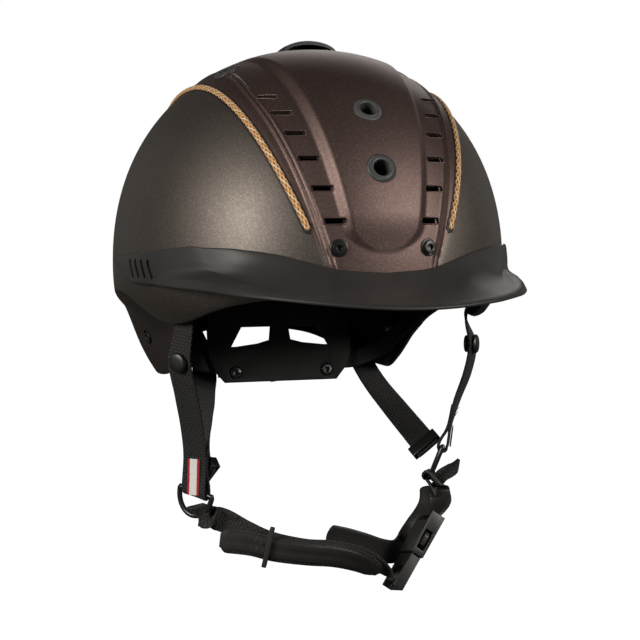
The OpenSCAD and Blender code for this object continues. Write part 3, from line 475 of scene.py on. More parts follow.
# --- node trees ---
class Tree:
    """Short way to add nodes and links to one node tree."""

    def __init__(self, tree):
        self.tree = tree

    def add(self, kind, inputs=None, **attrs):
        node = self.tree.nodes.new(kind)
        for key, value in attrs.items():
            setattr(node, key, value)
        for key, value in (inputs or {}).items():
            self.put(node.inputs[key], value)
        return node

    def put(self, socket, value):
        if isinstance(value, bpy.types.NodeSocket):
            self.tree.links.new(value, socket)
        else:
            socket.default_value = value

    def math(self, op, *values):
        return self.add("ShaderNodeMath", dict(enumerate(values)), operation=op).outputs[0]

    def blend(self, fac, a, b):
        return self.add("ShaderNodeMix", {0: fac, 6: a, 7: b}, data_type="RGBA").outputs[2]

    def ramp(self, fac, low, high):
        return self.add("ShaderNodeMapRange", {"Value": fac, "From Min": low, "From Max": high}).outputs[0]

    def noise(self, where, scale, detail=3.0):
        node = self.add("ShaderNodeTexNoise", {"Vector": where, "Scale": scale, "Detail": detail})
        return node.outputs["Fac"]

    def cells(self, where, scale, **attrs):
        return self.add("ShaderNodeTexVoronoi", {"Vector": where, "Scale": scale}, **attrs).outputs

    def bump(self, height, distance, strength):
        node = self.add("ShaderNodeBump", {"Height": height, "Distance": distance, "Strength": strength})
        return node.outputs[0]

    def use(self, tree, **inputs):
        return self.add("ShaderNodeGroup", inputs, node_tree=tree).outputs

    def place(self):
        return self.add("ShaderNodeTexCoord").outputs["Object"]

    def uv(self):
        return self.add("ShaderNodeUVMap", uv_map="UVMap").outputs[0]


def stitch_tree():
    """Geometry Nodes: a bead of thread at every Pitch along the edges of a mesh."""
    tree = bpy.data.node_groups.get("Stitch row")
    if tree:
        return tree
    tree = bpy.data.node_groups.new("Stitch row", "GeometryNodeTree")
    io = tree.interface
    io.new_socket("Geometry", in_out="INPUT", socket_type="NodeSocketGeometry")
    for label in ("Pitch", "Length", "Thread"):
        io.new_socket(label, in_out="INPUT", socket_type="NodeSocketFloat").subtype = "DISTANCE"
    io.new_socket("Material", in_out="INPUT", socket_type="NodeSocketMaterial")
    io.new_socket("Geometry", in_out="OUTPUT", socket_type="NodeSocketGeometry")
    t = Tree(tree)
    gin = t.add("NodeGroupInput").outputs
    curve = t.add("GeometryNodeMeshToCurve", {"Mesh": gin["Geometry"]}).outputs["Curve"]
    points = t.add("GeometryNodeCurveToPoints", {"Curve": curve, "Length": gin["Pitch"]},
                   mode="LENGTH").outputs
    bead = t.add("GeometryNodeMeshUVSphere", {"Segments": 8, "Rings": 6, "Radius": 0.5}).outputs["Mesh"]
    size = t.add("ShaderNodeCombineXYZ", {"X": gin["Thread"], "Y": gin["Thread"], "Z": gin["Length"]})
    spread = t.add("GeometryNodeInstanceOnPoints", {
        "Points": points["Points"], "Instance": bead, "Rotation": points["Rotation"],
        "Scale": size.outputs["Vector"]})
    real = t.add("GeometryNodeRealizeInstances", {"Geometry": spread.outputs["Instances"]})
    done = t.add("GeometryNodeSetMaterial", {"Geometry": real.outputs["Geometry"],
                                             "Material": gin["Material"]})
    t.add("NodeGroupOutput", {"Geometry": done.outputs["Geometry"]})
    return tree


def stitches(name, lines, material, pitch, length, thick):
    """Rows of thread along polylines, as a plain mesh."""
    verts, edges = [], []
    for line in lines:
        base = len(verts)
        verts += (np.asarray(line, float) * MM).tolist()
        edges += [(base + k, base + k + 1) for k in range(len(line) - 1)]
    mesh = bpy.data.meshes.new(name)
    mesh.from_pydata(verts, edges, [])
    obj = bpy.data.objects.new(name, mesh)
    bpy.context.scene.collection.objects.link(obj)
    mod = obj.modifiers.new("stitches", "NODES")
    mod.node_group = stitch_tree()
    values = {"Pitch": pitch * MM, "Length": length * MM, "Thread": thick * MM, "Material": material}
    for item in mod.node_group.interface.items_tree:
        if item.item_type == "SOCKET" and item.in_out == "INPUT" and item.name in values:
            mod[item.identifier] = values[item.name]
    return plain(obj, 0)


# --- materials ---
def rgba(c, k=1.0):
    return (c[0] * k, c[1] * k, c[2] * k, 1.0)


def group(name, values, outputs, build):
    """Node group made once, from a Vector and named floats to named floats; build gives its outputs."""
    tree = bpy.data.node_groups.get(name)
    if tree:
        return tree
    tree = bpy.data.node_groups.new(name, "ShaderNodeTree")
    tree.interface.new_socket("Vector", in_out="INPUT", socket_type="NodeSocketVector")
    for label, value in values.items():
        tree.interface.new_socket(label, in_out="INPUT", socket_type="NodeSocketFloat").default_value = value
    for label in outputs:
        tree.interface.new_socket(label, in_out="OUTPUT", socket_type="NodeSocketFloat")
    t = Tree(tree)
    t.add("NodeGroupOutput", dict(zip(outputs, build(t, t.add("NodeGroupInput").outputs))))
    return tree


def grain_group():
    """Fine moulded or painted grain: a height and a slow tone."""
    def build(t, gin):
        return (t.noise(gin["Vector"], gin["Scale"]),
                t.ramp(t.noise(gin["Vector"], 22.0), 0.3, 0.7))
    return group("Grain", {"Scale": 2500.0}, ("Height", "Tone"), build)


def flake_group():
    """Small bright flakes in a paint."""
    def build(t, gin):
        spark = t.add("ShaderNodeSeparateColor", {"Color": t.cells(gin["Vector"], gin["Scale"])["Color"]})
        return (t.ramp(spark.outputs[0], 0.62, 1.0),)
    return group("Flake", {"Scale": 2200.0}, ("Flake",), build)


def weave_group():
    """Woven webbing from a UV in millimetres: staggered ribs."""
    def build(t, gin):
        brick = t.add("ShaderNodeTexBrick", {
            "Vector": gin["Vector"], "Color1": (1, 1, 1, 1), "Color2": (0.8, 0.8, 0.8, 1),
            "Mortar": (0, 0, 0, 1), "Scale": 1.0, "Mortar Size": gin["Gap"], "Mortar Smooth": 1.0,
            "Brick Width": gin["Width"], "Row Height": gin["Pitch"]}, offset=0.5)
        rib = t.add("ShaderNodeRGBToBW", {"Color": brick.outputs["Color"]}).outputs[0]
        fuzz = t.math("MULTIPLY", t.noise(gin["Vector"], 3.0, 4.0), 0.35)
        return t.math("ADD", rib, fuzz), rib
    return group("Weave", {"Width": 3.0, "Pitch": 1.7, "Gap": 0.42}, ("Height", "Mask"), build)


def new_material(name, build):
    """The material of this name; build gives its Principled values when it is first asked for."""
    name = "helmet " + name
    mat = bpy.data.materials.get(name)
    if mat:
        return mat
    mat = bpy.data.materials.new(name)
    mat.use_nodes = True
    mat.node_tree.nodes.clear()
    t = Tree(mat.node_tree)
    shader = t.add("ShaderNodeBsdfPrincipled", build(t))
    t.add("ShaderNodeOutputMaterial", {"Surface": shader.outputs[0]})
    return mat


def paint(name, colour, warm):
    """Satin metallic paint with fine flakes."""
    def build(t):
        where = t.place()
        flake = t.use(flake_group(), Vector=where)["Flake"]
        grain = t.use(grain_group(), Vector=where, Scale=1500.0)
        base = t.blend(flake, rgba(colour, 0.86), rgba(warm))
        return {"Base Color": t.blend(t.math("MULTIPLY", grain["Tone"], 0.22), base, rgba(colour, 0.8)),
                "Metallic": 0.95, "Roughness": t.math("MULTIPLY_ADD", grain["Tone"], 0.05, 0.50),
                "Coat Weight": 0.05, "Coat Roughness": 0.4,
                "Normal": t.bump(grain["Height"], 0.00003, 0.4)}
    return new_material(name, build)


def moulded(name, colour, rough=0.42, grain=1800.0, depth=0.00005, coat=0.0):
    """Moulded plastic or rubber with a fine texture."""
    def build(t):
        g = t.use(grain_group(), Vector=t.place(), Scale=grain)
        return {"Base Color": t.blend(g["Tone"], rgba(colour, 0.85), rgba(colour, 1.2)),
                "Roughness": t.math("MULTIPLY_ADD", g["Tone"], 0.08, rough), "Coat Weight": coat,
                "Normal": t.bump(g["Height"], depth, 0.6)}
    return new_material(name, build)


def metal(name, colour, rough):
    """Dark or bright metal with slight marks."""
    def build(t):
        g = t.use(grain_group(), Vector=t.place(), Scale=900.0)
        return {"Base Color": t.blend(g["Tone"], rgba(colour, 0.85), rgba(colour, 1.1)),
                "Metallic": 1.0, "Roughness": t.math("MULTIPLY_ADD", g["Height"], 0.15, rough),
                "Normal": t.bump(g["Height"], 0.00003, 0.4)}
    return new_material(name, build)


def webbing():
    """Black woven webbing, ribbed across."""
    def build(t):
        colour = cfg().web_colour
        weave = t.use(weave_group(), Vector=t.uv())
        slow = t.use(grain_group(), Vector=t.place(), Scale=400.0)["Tone"]
        # painted shade: much darker in the gaps between the ribs, lighter on the ribs
        base = t.blend(weave["Mask"], rgba(colour, 0.15), rgba(colour, 1.9))
        return {"Base Color": t.blend(t.math("MULTIPLY", slow, 0.4), base, rgba(colour, 2.0)),
                "Roughness": 0.72, "Sheen Weight": 0.08, "Sheen Roughness": 0.5,
                "Normal": t.bump(weave["Height"], 0.0005, 1.0)}
    return new_material("webbing", build)


def stripe():
    """Woven tab: white middle, red edges, black borders, by the distance from its middle."""
    def build(t):
        uv = t.uv()
        weave = t.use(weave_group(), Vector=uv, Width=0.9, Pitch=0.55, Gap=0.12)
        u = t.add("ShaderNodeSeparateXYZ", {0: uv}).outputs[0]
        ragged = t.math("MULTIPLY", t.math("SUBTRACT", t.noise(uv, 1.6, 2.0), 0.5), 0.5)
        away = t.math("ADD", t.math("ABSOLUTE", u), ragged)
        base = t.blend(t.ramp(away, 2.15, 2.45), (0.95, 0.93, 0.90, 1), (0.50, 0.010, 0.02, 1))
        base = t.blend(t.ramp(away, 3.5, 3.8), base, (0.02, 0.02, 0.02, 1))
        # painted shade in the gaps of the weave
        gap_shade = t.math("MULTIPLY", t.math("SUBTRACT", 1.0, weave["Mask"]), 0.15)
        return {"Base Color": t.blend(gap_shade, base, (0.03, 0.02, 0.02, 1)), "Roughness": 0.8,
                "Normal": t.bump(weave["Height"], 0.00008, 0.6)}
    return new_material("stripe", build)


def leather():
    """Fine black synthetic leather."""
    def build(t):
        colour, where = (0.013, 0.0125, 0.0125), t.place()
        cell = t.cells(where, 1300.0, feature="SMOOTH_F1")["Distance"]
        wrinkle = t.noise(where, 120.0, 5.0)
        slow = t.use(grain_group(), Vector=where, Scale=600.0)["Tone"]
        height = t.math("ADD", cell, t.math("MULTIPLY", wrinkle, 1.5))
        return {"Base Color": t.blend(slow, rgba(colour, 0.8), rgba(colour, 1.3)),
                "Roughness": t.math("MULTIPLY_ADD", wrinkle, 0.2, 0.4),
                "Normal": t.bump(height, 0.00016, 0.7)}
    return new_material("leather", build)


def braid_material():
    """Gold braid; pale flecks follow the strand value of the mesh."""
    def build(t):
        colour = cfg().gold_colour
        strand, high = (t.add("ShaderNodeAttribute", attribute_name=label).outputs["Fac"]
                        for label in ("strand", "height"))
        noise = t.noise(t.place(), 500.0)
        # painted shade: darker where the plait's height is low, between the strands
        base = t.blend(t.ramp(high, 0.1, 0.85), rgba(colour, 0.13), rgba(colour))
        # painted highlight: pale flecks on the crests of the strands
        crest_highlight = t.math("MULTIPLY", strand, t.ramp(noise, 0.2, 0.5))
        return {"Base Color": t.blend(crest_highlight, base, (0.95, 0.84, 0.6, 1)), "Roughness": 0.55,
                "Metallic": 0.25, "Sheen Weight": 0.15, "Normal": t.bump(noise, 0.0001, 0.5)}
    return new_material("piping_braid", build)


def foam_material():
    """Moulded beads of the foam liner."""
    def build(t):
        cell = t.cells(t.place(), 320.0, feature="SMOOTH_F1")["Distance"]
        # painted shade: darker where the beads meet
        base = t.blend(t.ramp(cell, 0.1, 0.6), (0.016, 0.016, 0.017, 1), (0.008, 0.008, 0.008, 1))
        return {"Base Color": base, "Roughness": 0.85,
                "Normal": t.bump(t.math("MULTIPLY", cell, -1.0), 0.0005, 0.7)}
    return new_material("foam", build)


def knit_material():
    """Mesh fabric of the comfort pads."""
    def build(t):
        where = t.place()
        cell = t.cells(where, 800.0)["Distance"]
        slow = t.use(grain_group(), Vector=where, Scale=300.0)["Tone"]
        # painted shade: dark in the pits, lighter on the raised ridges
        base = t.blend(t.ramp(cell, 0.2, 0.6), (0.004, 0.004, 0.0045, 1), (0.022, 0.022, 0.024, 1))
        return {"Base Color": t.blend(t.math("MULTIPLY", slow, 0.3), base, (0.03, 0.03, 0.032, 1)),
                "Roughness": 0.9, "Sheen Weight": 0.2, "Normal": t.bump(cell, 0.0003, 0.8)}
    return new_material("pad_fabric", build)


def black():
    return moulded("black_plastic", cfg().black_colour, 0.40)


def gloss_black():
    return moulded("gloss_plastic", (0.014, 0.014, 0.014), 0.24, 900.0, 0.00003, 0.2)


def thread():
    return moulded("thread", (0.022, 0.022, 0.022), 0.7, 2500.0, 0.00005)


# --- shell ---
# Thickness of the shell, depth of its recess under the panel, depth of the panel's underside
SHELL_WALL, RECESS, PANEL_DEPTH = 3.2, 1.8, 1.6


def cutters(outline, places, low, high=12):
    """A straight cutter of this outline at each (side, over) of places."""
    return [prism(outline, vent_frame(s, o), low, high) for s, o in places]


def vent_cutters(low):
    """The slots, eyelet holes and screw holes."""
    return (cutters(rounded_rect(*SLOT), SLOTS, low) + cutters(circle(BARREL_R), HOLES, low)
            + cutters(circle(SCREW_R, 20), SCREWS, low))


def dome(name, off_out, off_in, rim_lift, recess, material, lons=288, low=8, high=42):
    """Egg-shaped wall from its rim to the crown, with a rounded rim and a recess under the panel."""
    lon = np.arange(lons) * 360.0 / lons - 180
    rim = lookup(lon, RIM, 3.0) + rim_lift

    def rows(off, dip):
        grid = []
        for k in range(low + high):
            if k < low:
                z = rim * (1 - k / low)
            else:
                rise = math.sin(math.pi / 2 * (k - low) / high) ** (2 / SIDE_N)
                z = np.full(lons, (CROWN + off) * rise)
            p = egg_at(lon, z, off)
            if dip:
                o, a = over_of(p), np.abs(aside_of(p))
                depth = dip * soft((panel_edge(np.maximum(o, 0)) - 0.2 - a) / 2.6) * soft((146 - o) / 6)
                depth = depth * (z > -6) * ((z > 0) | (p[:, 1] < 0))
                p = p - unit(p) * depth[:, None]
            grid.append(p)
        return grid

    outer, inner = rows(off_out, recess), rows(off_in, 0)
    edge = []
    for t in (0.2, 0.5, 0.8):
        p = mix(outer[0], inner[0], t)
        p[:, 2] -= 0.9 * math.sin(math.pi * t)
        edge.append(p)
    rings = outer[::-1] + edge + inner
    verts = np.vstack(rings + [[[0, 0, CROWN + off_out - recess]], [[0, 0, CROWN + off_in]]])
    n, m = lons, len(rings)
    faces = tube_faces(m, n, caps=False) + [(i, m * n, (i + 1) % n) for i in range(n)]
    faces += [((m - 1) * n + i, (m - 1) * n + (i + 1) % n, m * n + 1) for i in range(n)]
    return mesh_object(name, verts, faces, None, material)


def make_shell():
    mat = paint("shell_paint", cfg().shell_colour, (0.235, 0.198, 0.167))
    shell = dome("shell", 0.0, -SHELL_WALL, 0.0, RECESS, mat)
    carve(shell, vent_cutters(-12))
    place(shell, "helmet", "outer_shell", slot="shell_paint")


# --- centre panel ---
# Where the raised middle begins; length, width and corner of a slot's lip and of the pocket in it;
# radius of the seat of an eyelet ring
NOSE_FROM = 4.01
SLOT_LIP, SLOT_POCKET = (12.1, 3.3, 1.25), (11.6, 3.0, 1.0)
SEAT_R = 7.9


def panel_lift(side, over):
    """Height of the raised middle, the two ribs and the valley beside them."""
    s = np.abs(side)
    n = nose_angle(np.maximum(over, NOSE_FROM))
    rise = cfg().nose_rise / MM * soft((n + 1 - s) / 3.0) * soft((over - 2.5) / 11) * soft((98 - over) / 52)
    rib = rib_angle(np.maximum(over, 0))
    fade = soft((over + 2) / 6) * soft((112 - over) / 30)
    beads = sum(np.exp(-((s - rib + d) / 0.27) ** 2) for d in (0.0, 1.05))
    valley = -0.35 * np.exp(-((s - rib - 0.9) / 0.5) ** 2)
    return rise + (cfg().rib_rise / MM * beads + valley) * fade


def panel_columns(over):
    """Angles aside of the panel's mesh lines, closer together at its edges and ribs."""
    o = np.maximum(over, 0)
    n, rib, edge = np.maximum(nose_angle(np.maximum(over, NOSE_FROM)), 4.4), rib_angle(o), panel_edge(o)
    near = rib + np.array([-2.0, -1.7, -1.45, -1.25, -1.05, -0.85, -0.65, -0.45, -0.2, 0, 0.2, 0.45,
                           0.7, 0.9])
    half = np.concatenate([np.linspace(0, n - 2.8, 9)[:-1], np.linspace(n - 2.8, n + 1.4, 15)[:-1],
                           np.linspace(n + 1.4, rib - 2.3, 9)[:-1], near[:-1],
                           np.linspace(near[-1], max(edge, near[-1] + 0.02), 5)])
    return np.concatenate([-half[:0:-1], half])


def slot_lip(side, over):
    """Small bead round a slot, laid on the panel."""
    m = vent_frame(side, over)
    length, width, corner = SLOT_LIP
    rings = []
    for w in np.linspace(0, 2 * math.pi, 9)[:-1]:
        grow, up = 0.32 * math.cos(w), 0.22 * math.sin(w)
        ring = rounded_rect(length + 2 * grow, width + 2 * grow, corner + grow)
        q = moved(np.column_stack([ring, np.full(len(ring), up)]), m)
        a, o = aside_of(q), over_of(q)
        drop = np.linalg.norm(q, axis=1) - np.linalg.norm(egg_way(a, o, 0.14), axis=1)
        rings.append(q - unit(q) * (drop - panel_lift(a, o) - up)[:, None])
    return np.array(rings).reshape(-1, 3), tube_faces(8, len(rings[0]), closed=True)


def make_panel():
    mat = paint("panel_paint", cfg().panel_colour, (0.22, 0.157, 0.138))
    overs = np.concatenate([np.arange(-2, 14, 0.5), np.arange(14, 60, 0.8), np.arange(60, 146.1, 1.2)])
    rings = []
    for o in overs:
        a = panel_columns(o)
        top = egg_way(a, o, 0.12) + egg_normal(egg_way(a, o)) * panel_lift(a, o)[:, None]
        low = egg_way(a, o, -PANEL_DEPTH)
        rings.append(np.vstack([top, low[::-1]]))
    panel = skin("panel", rings, mat, ladder=True)
    seats = [prism(circle(SEAT_R, 48), vent_frame(s, o), lift - 0.35, 12) for s, o, lift in EYELETS.values()]
    # the wide cutters and the narrow ones overlap, so they cut in turn
    carve(panel, cutters(rounded_rect(*SLOT_POCKET), SLOTS, -1.2) + seats)
    carve(panel, vent_cutters(-9))
    place(panel, "helmet", "centre_panel", slot="panel_paint")
    lips = mesh_object("slot_lips", *joined([slot_lip(s, o) for s, o in SLOTS]), None, mat, 60)
    place(lips, "helmet", slot="panel_paint")


# --- piping ---
# Depth of the braid's strands, length of one turn of a strand
BRAID_DEPTH, BRAID_TURN = 0.36, 4.6


def piping_way(side, over, off=0.0):
    return egg_way(side * piping_angle(over), over, off)


def braid(name, side, material):
    """Plaited cord; the attributes height and strand carry its plait to the material."""
    r = cfg().piping / MM / 2
    line, at = resampled(0.34, piping_way(side, np.linspace(9.5, 150, 500), 0.2))
    _, u, v = frames_along(line, egg_normal(line))
    theta = (np.arange(28) * 2 * math.pi / 28)[None]
    s = at[:, None] * 2 * math.pi / BRAID_TURN
    high = np.maximum(np.cos(4 * theta + s), np.cos(4 * theta - s))
    taper = np.clip(np.minimum(at, at[-1] - at) / 1.6, 0.0, 1.0) ** 0.5
    radius = (r - BRAID_DEPTH + BRAID_DEPTH * high) * (0.35 + 0.65 * taper)[:, None]
    way = u[:, None] * np.cos(theta)[..., None] + v[:, None] * np.sin(theta)[..., None]
    cord = skin(name + "_braid", line[:, None] + radius[..., None] * way, material, angle=0)
    # strand marks the strand crests that the material paints as pale highlights
    strand = (np.cos(4 * theta + s) > 0.75) * (np.cos(s * 0.5 + theta) > 0.2) * 1.0
    for label, values in (("height", high * 0.5 + 0.5), ("strand", strand)):
        attr = cord.data.attributes.new(label, "FLOAT", "POINT")
        attr.data.foreach_set("value", np.ascontiguousarray(values, np.float32).ravel())
    return cord


def channel(name, side, material):
    """Low lips on both sides of the cord, rounded off at its ends."""
    over = np.linspace(8.6, 150.6, 240)
    base = piping_way(side, over)
    out = egg_normal(base)
    _, w, _ = frames_along(base, np.cross(np.gradient(base, axis=0), out))
    ends = np.sqrt(np.clip(1 - ((np.abs(over - 79.6) - 69.4) / 1.6).clip(0, 1) ** 2, 0, 1))
    arc = np.linspace(0, math.pi, 9)
    rings = []
    for p, across, up, end in zip(base, w, out, ends):
        half = 2.6 * max(end, 0.05)
        top = [(-half * math.cos(x), 0.42 * math.sin(x) ** 0.6 if 0 < x < math.pi else 0.0) for x in arc]
        rings.append([p + across * x + up * h for x, h in top + [(x, -0.8) for x, _ in top[::-1]]])
    return skin(name + "_channel", rings, material)


def make_piping():
    gold = braid_material()
    # near-black lips stand in for the shade of the groove round the cord
    trim = moulded("piping_groove_shade", (0.012, 0.009, 0.008), 0.5)
    for side, name in ((1, "left_piping"), (-1, "right_piping")):
        place(braid(name, side, gold), "helmet", name, slot="piping")
        place(channel(name, side, trim), "helmet", slot="trim")


# --- eyelets, scoop ---
# [radius, height] of an eyelet ring with its barrel
EYELET_RING = [[4.4, 1.2], [5.3, 1.55], [6.0, 1.2], [6.4, 1.25], [7.0, 1.0], [7.75, 0.3], [7.75, -0.4],
               [5.4, -0.4], [5.4, -7], [4.4, -7]]


def make_eyelets():
    ring_mat = moulded("eyelet_grey", (0.055, 0.058, 0.058), 0.45, 2200.0, 0.00006)
    profile = round_profile(EYELET_RING, 0.25, 3)
    for node, (s, o, lift) in EYELETS.items():
        m = vent_frame(s, o)
        m[:3, 3] += m[:3, 2] * lift
        rings = []
        for k, (x, y) in enumerate(circle(1, 144)):
            knurl = 0.10 * (k % 2)
            ring = []
            for r, z in profile:
                rr = r - (knurl if 6.3 < r < 7.3 and z > 0.6 else 0)
                zz = z - (knurl * 1.2 if 6.2 < r < 7.4 and z > 0.6 else 0)
                ring.append((rr * x, rr * y, zz))
            rings.append(ring)
        eye = skin(node + "_ring", moved(np.array(rings), m), ring_mat, closed=True, angle=30)
        place(eye, "helmet", node, slot="eyelet")


def make_scoop():
    def grid(shrink, rows=33, cols=41):
        out = []
        for t in np.linspace(0, 1, rows):
            y, w = -12 + 42 * t, (15.5 - shrink) * math.sqrt(1 - 0.75 * t * t)
            h = (5.2 - shrink) * max(math.cos(84 * t * RAD), 0.0) ** 0.8
            a = np.linspace(-90, 90, cols) * RAD
            x = w * np.sin(a)
            base = egg_way(np.degrees(np.arcsin(x / 120)), 90 + y / 2.05)
            lift = 3.6 * float(soft((8 - y / 2.05) / 52))
            z = base[:, 2] + 0.35 + lift + h * np.cos(a) + (-0.2 if shrink else 0)
            out.append(np.column_stack([x, np.full(cols, y), z]))
        return np.array(out)
    outer, inner = grid(0.0), grid(1.8)
    rings = [np.vstack([a, b[::-1]]) for a, b in zip(outer, inner)]
    nose = rings[0].copy()
    nose[:, 1] -= 0.45
    nose[:, 2] -= 0.25
    scoop = skin("scoop", [nose] + rings, gloss_black(), ladder=True)
    place(scoop, "helmet", "top_scoop", slot="trim")


# --- visor ---
# [longitude, height] of its upper and lower edge, [longitude, reach] of the peak and
# [share of the reach, longitude] of the fold in it
VISOR_TOP = [[0, -1], [9, 0.2], [13, 1.6], [17, 4.2], [23, 7.6], [28, 9.4], [36, 11], [45, 11.2], [57, 9.6],
             [71, 7.2], [90, 5], [99, 4.4]]
VISOR_LOW = [[0, -15.5], [28, -13.5], [38, -10.5], [60, -9.2], [74, -9.2], [86, -5], [99, 1]]
LIP = [[0, 174.3], [8, 173.6], [16, 170.4], [24, 162.4], [30, 152.4], [33.3, 146.2], [37, 139.6], [42, 132.3],
       [48, 125.4], [55, 119.8], [62, 116]]
FOLD = [[0.0, 60], [0.08, 50], [0.3, 40], [0.62, 30], [1.0, 21]]


def visor_section(lon, steps=6):
    """Closed outline of the visor at a longitude, the fold in the peak included."""
    a = abs(lon)
    top, low = float(lookup(lon, VISOR_TOP, 1.5)), float(lookup(lon, VISOR_LOW, 2.5))
    bare = float(plan_radius(np.float64(lon)))
    reach = max(0.0, float(lookup(lon, LIP, 1.2)) - bare) * float(1 - soft((a - 58) / 5)) if a < 63 else 0.0
    k = min(reach / 46, 1)
    w = 3 * mix(1, 0.3, float(soft((a - 76) / 20)))
    lip = -15 + 6.5 * float(soft(a / 36))
    pa, pb = egg_at(np.float64(lon), np.float64(top), 0.3), egg_at(np.float64(lon), np.float64(low), 0.3)
    base, low_base = np.hypot(pa[0], pa[1]), np.hypot(pb[0], pb[1])
    tip = bare + max(reach, w)
    upper = [[base, top], [base + w * 0.35, top - 0.05], [base + w * 0.7, top - 0.8],
             [mix(base + w, mix(base, tip, 0.28), k), mix(mix(top, low, 0.35), mix(top, lip, 0.45), k)],
             [mix(base + w, mix(base, tip, 0.66), k), mix(mix(top, low, 0.6), mix(top, lip, 0.8), k)],
             [tip - 0.8 * min(k * 6, 1) - 2.2 * k, mix(mix(top, low, 0.8), lip + 0.75, k)]]
    upper = spline([[r, 0, z] for r, z in upper], steps)[:, [0, 2]]
    frac = (upper[:, 0] - base) / max(tip - base, 0.01)
    edge = np.interp(frac, *zip(*FOLD))
    step = cfg().visor_fold / MM * soft((a - edge + 3) / 6) * soft(k * 3) * soft(frac / 0.15)
    upper[:, 1] += step * soft((1 - frac) / 0.25 + 0.15)
    rim = round_profile([[tip - 0.8 * min(k * 6, 1) - 0.6 * k, mix(mix(top, low, 0.88), lip + 0.3, k)],
                         [tip - 0.05, mix(low + 0.9, lip - 0.7, k)],
                         [tip - 0.5, mix(low + 0.2, lip - 1.9, k)],
                         [mix(tip - w * 0.5, tip - 2.6, k), mix(low, lip - 2.2, k)]], 0.5, 2)[3:-3]
    under = spline([[mix(tip - w * 0.5, tip - 4.0, k), 0, mix(low, lip - 2.1, k)],
                    [mix(base + w * 0.4, mix(base, tip, 0.55), k), 0,
                     mix(low + 0.3, mix(low, lip, 0.6) - 1.6, k)],
                    [low_base + w * 0.2, 0, low + 0.05]], steps)[:, [0, 2]]
    back = [[np.hypot(*egg_at(np.float64(lon), np.float64(z), 0.3)[:2]), z]
            for z in np.linspace(low, top, 6)[:-1]]
    rz = np.vstack([upper, rim, under, back])
    return polar(np.full(len(rz), float(lon)), rz[:, 0], rz[:, 1])


def make_visor():
    mat = moulded("visor_black", (0.030, 0.029, 0.0275), 0.45, 1400.0, 0.00004)
    t = np.linspace(-1, 1, 189)
    lons = 99 * t * (0.62 + 0.38 * t * t)
    visor = skin("visor_peak", [visor_section(lon) for lon in lons], mat, angle=45)
    parts = []
    for s in (-1, 1):
        for k in range(4):
            turn = (Matrix.Rotation(s * (63 + 3.6 * k) * RAD, 4, "Z") @ Matrix.Translation((0, -112, -1))
                    @ Matrix.Rotation(s * 28 * RAD, 4, "Y") @ Matrix.Rotation(math.pi / 2, 4, "X"))
            parts.append(prism(rounded_rect(2.2, 11, 0.7), np.array(turn), -7, 7))
    carve(visor, parts, 45)
    place(visor, "helmet", "visor", slot="visor")


# --- neck guard ---
# [longitude, height] of its lower edge and [longitude, share] of how far it curls in
GUARD_EDGE = [[84, -24], [90, -36], [97, -45], [105, -55], [113, -62], [120, -66.5], [126, -68], [134, -67],
              [145, -61], [160, -50], [180, -44]]
GUARD_CURL = [[84, 0.88], [97, 1], [105, 0.9], [113, 0.71], [120, 0.42], [125, 0.17], [129, 0.03], [134, 0]]


def guard_at(lon, z, off):
    begin = mix(8.0, 17.0, soft((np.abs(lon) - 90) / 25))
    curl = 0.27 * lookup(lon, GUARD_CURL, 2.5) * soft((-z - begin) / 29)
    return polar(lon, plan_radius(lon) * level_scale(z, LOW_REAR) * (1 - curl) + off, z)


def make_guard():
    mat = paint("guard_paint", (0.125, 0.102, 0.094), (0.16, 0.13, 0.118))
    shares = [k / 22 for k in range(23)]
    rings = []
    for raw in np.linspace(84, 276, 193):
        lon = np.float64(raw - 360 if raw > 180 else raw)
        edge = float(lookup(lon if abs(lon) < 177 else 177, GUARD_EDGE, 3.0))
        rows = [(-6.0, -4.0), (-10.0, -4.0), (-15.1, -4.0), (-15.5, -1.0), (-15.8, 0)]
        rows += [(mix(-15.8, edge + 1.0, t), 0) for t in shares[1:]]
        rows += [(edge + 0.3, -0.25), (edge, -0.9), (edge, -1.8), (edge + 0.4, -2.45)]
        rows += [(mix(edge + 1.0, -18.4, t), -2.6) for t in shares]
        rows += [(-16, -5.2), (-10, -5.2), (-6, -5.2)]
        rings.append(np.array([guard_at(lon, z, off) for z, off in rows]).reshape(-1, 3))
    guard = skin("neck_guard_shell", rings, mat, angle=50)
    bosses, cuts = [], []
    for s in (-1, 1):
        m = basis([80.5 * s, 47, -45], [0.96 * s, -0.2, -0.2])
        bosses.append(prism(circle(5.5), m, -7, -1.7))
        cuts += [prism(circle(SCREW_R, 24), m, -20, 20), prism(circle(4.3, 48), m, -1.6, 18)]
    carve(guard, cuts, 45)
    place(guard, "helmet", "neck_guard", slot="shell_paint")
    boss = mesh_object("guard_bosses", *joined(bosses), None, black(), 40)
    carve(boss, cuts)
    place(boss, "helmet", slot="trim")


# --- liner and pads ---
# Depth of the liner's inner face below the shell's surface
LINER_IN = 24.8


def make_liner():
    liner = dome("liner", -7.8, -LINER_IN, 7.0, 0, foam_material(), lons=180, low=5, high=26)
    holes = cutters(circle(6.1), HOLES, -40, 40) + cutters(circle(6.0), SCREWS, -12)
    pockets = []
    for s in (-1, 1):
        turn = Matrix.Translation(flipped(PIVOT, s)) @ Matrix.Rotation(s * math.pi / 2, 4, "Y")
        m = np.array(turn)
        holes.append(prism(circle(PIVOT_R, 24), m, 0, 40))
        pockets.append(prism(circle(10.0, 48), m, -6, 2.2))
        turn = Matrix.Rotation(-29 * RAD if s > 0 else 209 * RAD, 4, "Z") @ Matrix.Translation((106, 0, 0))
        pockets.append(prism(rounded_rect(30, 26, 3), np.array(turn), -40, -5))
    carve(liner, pockets)
    carve(liner, holes)
    place(liner, "helmet", "foam_liner", slot="foam")


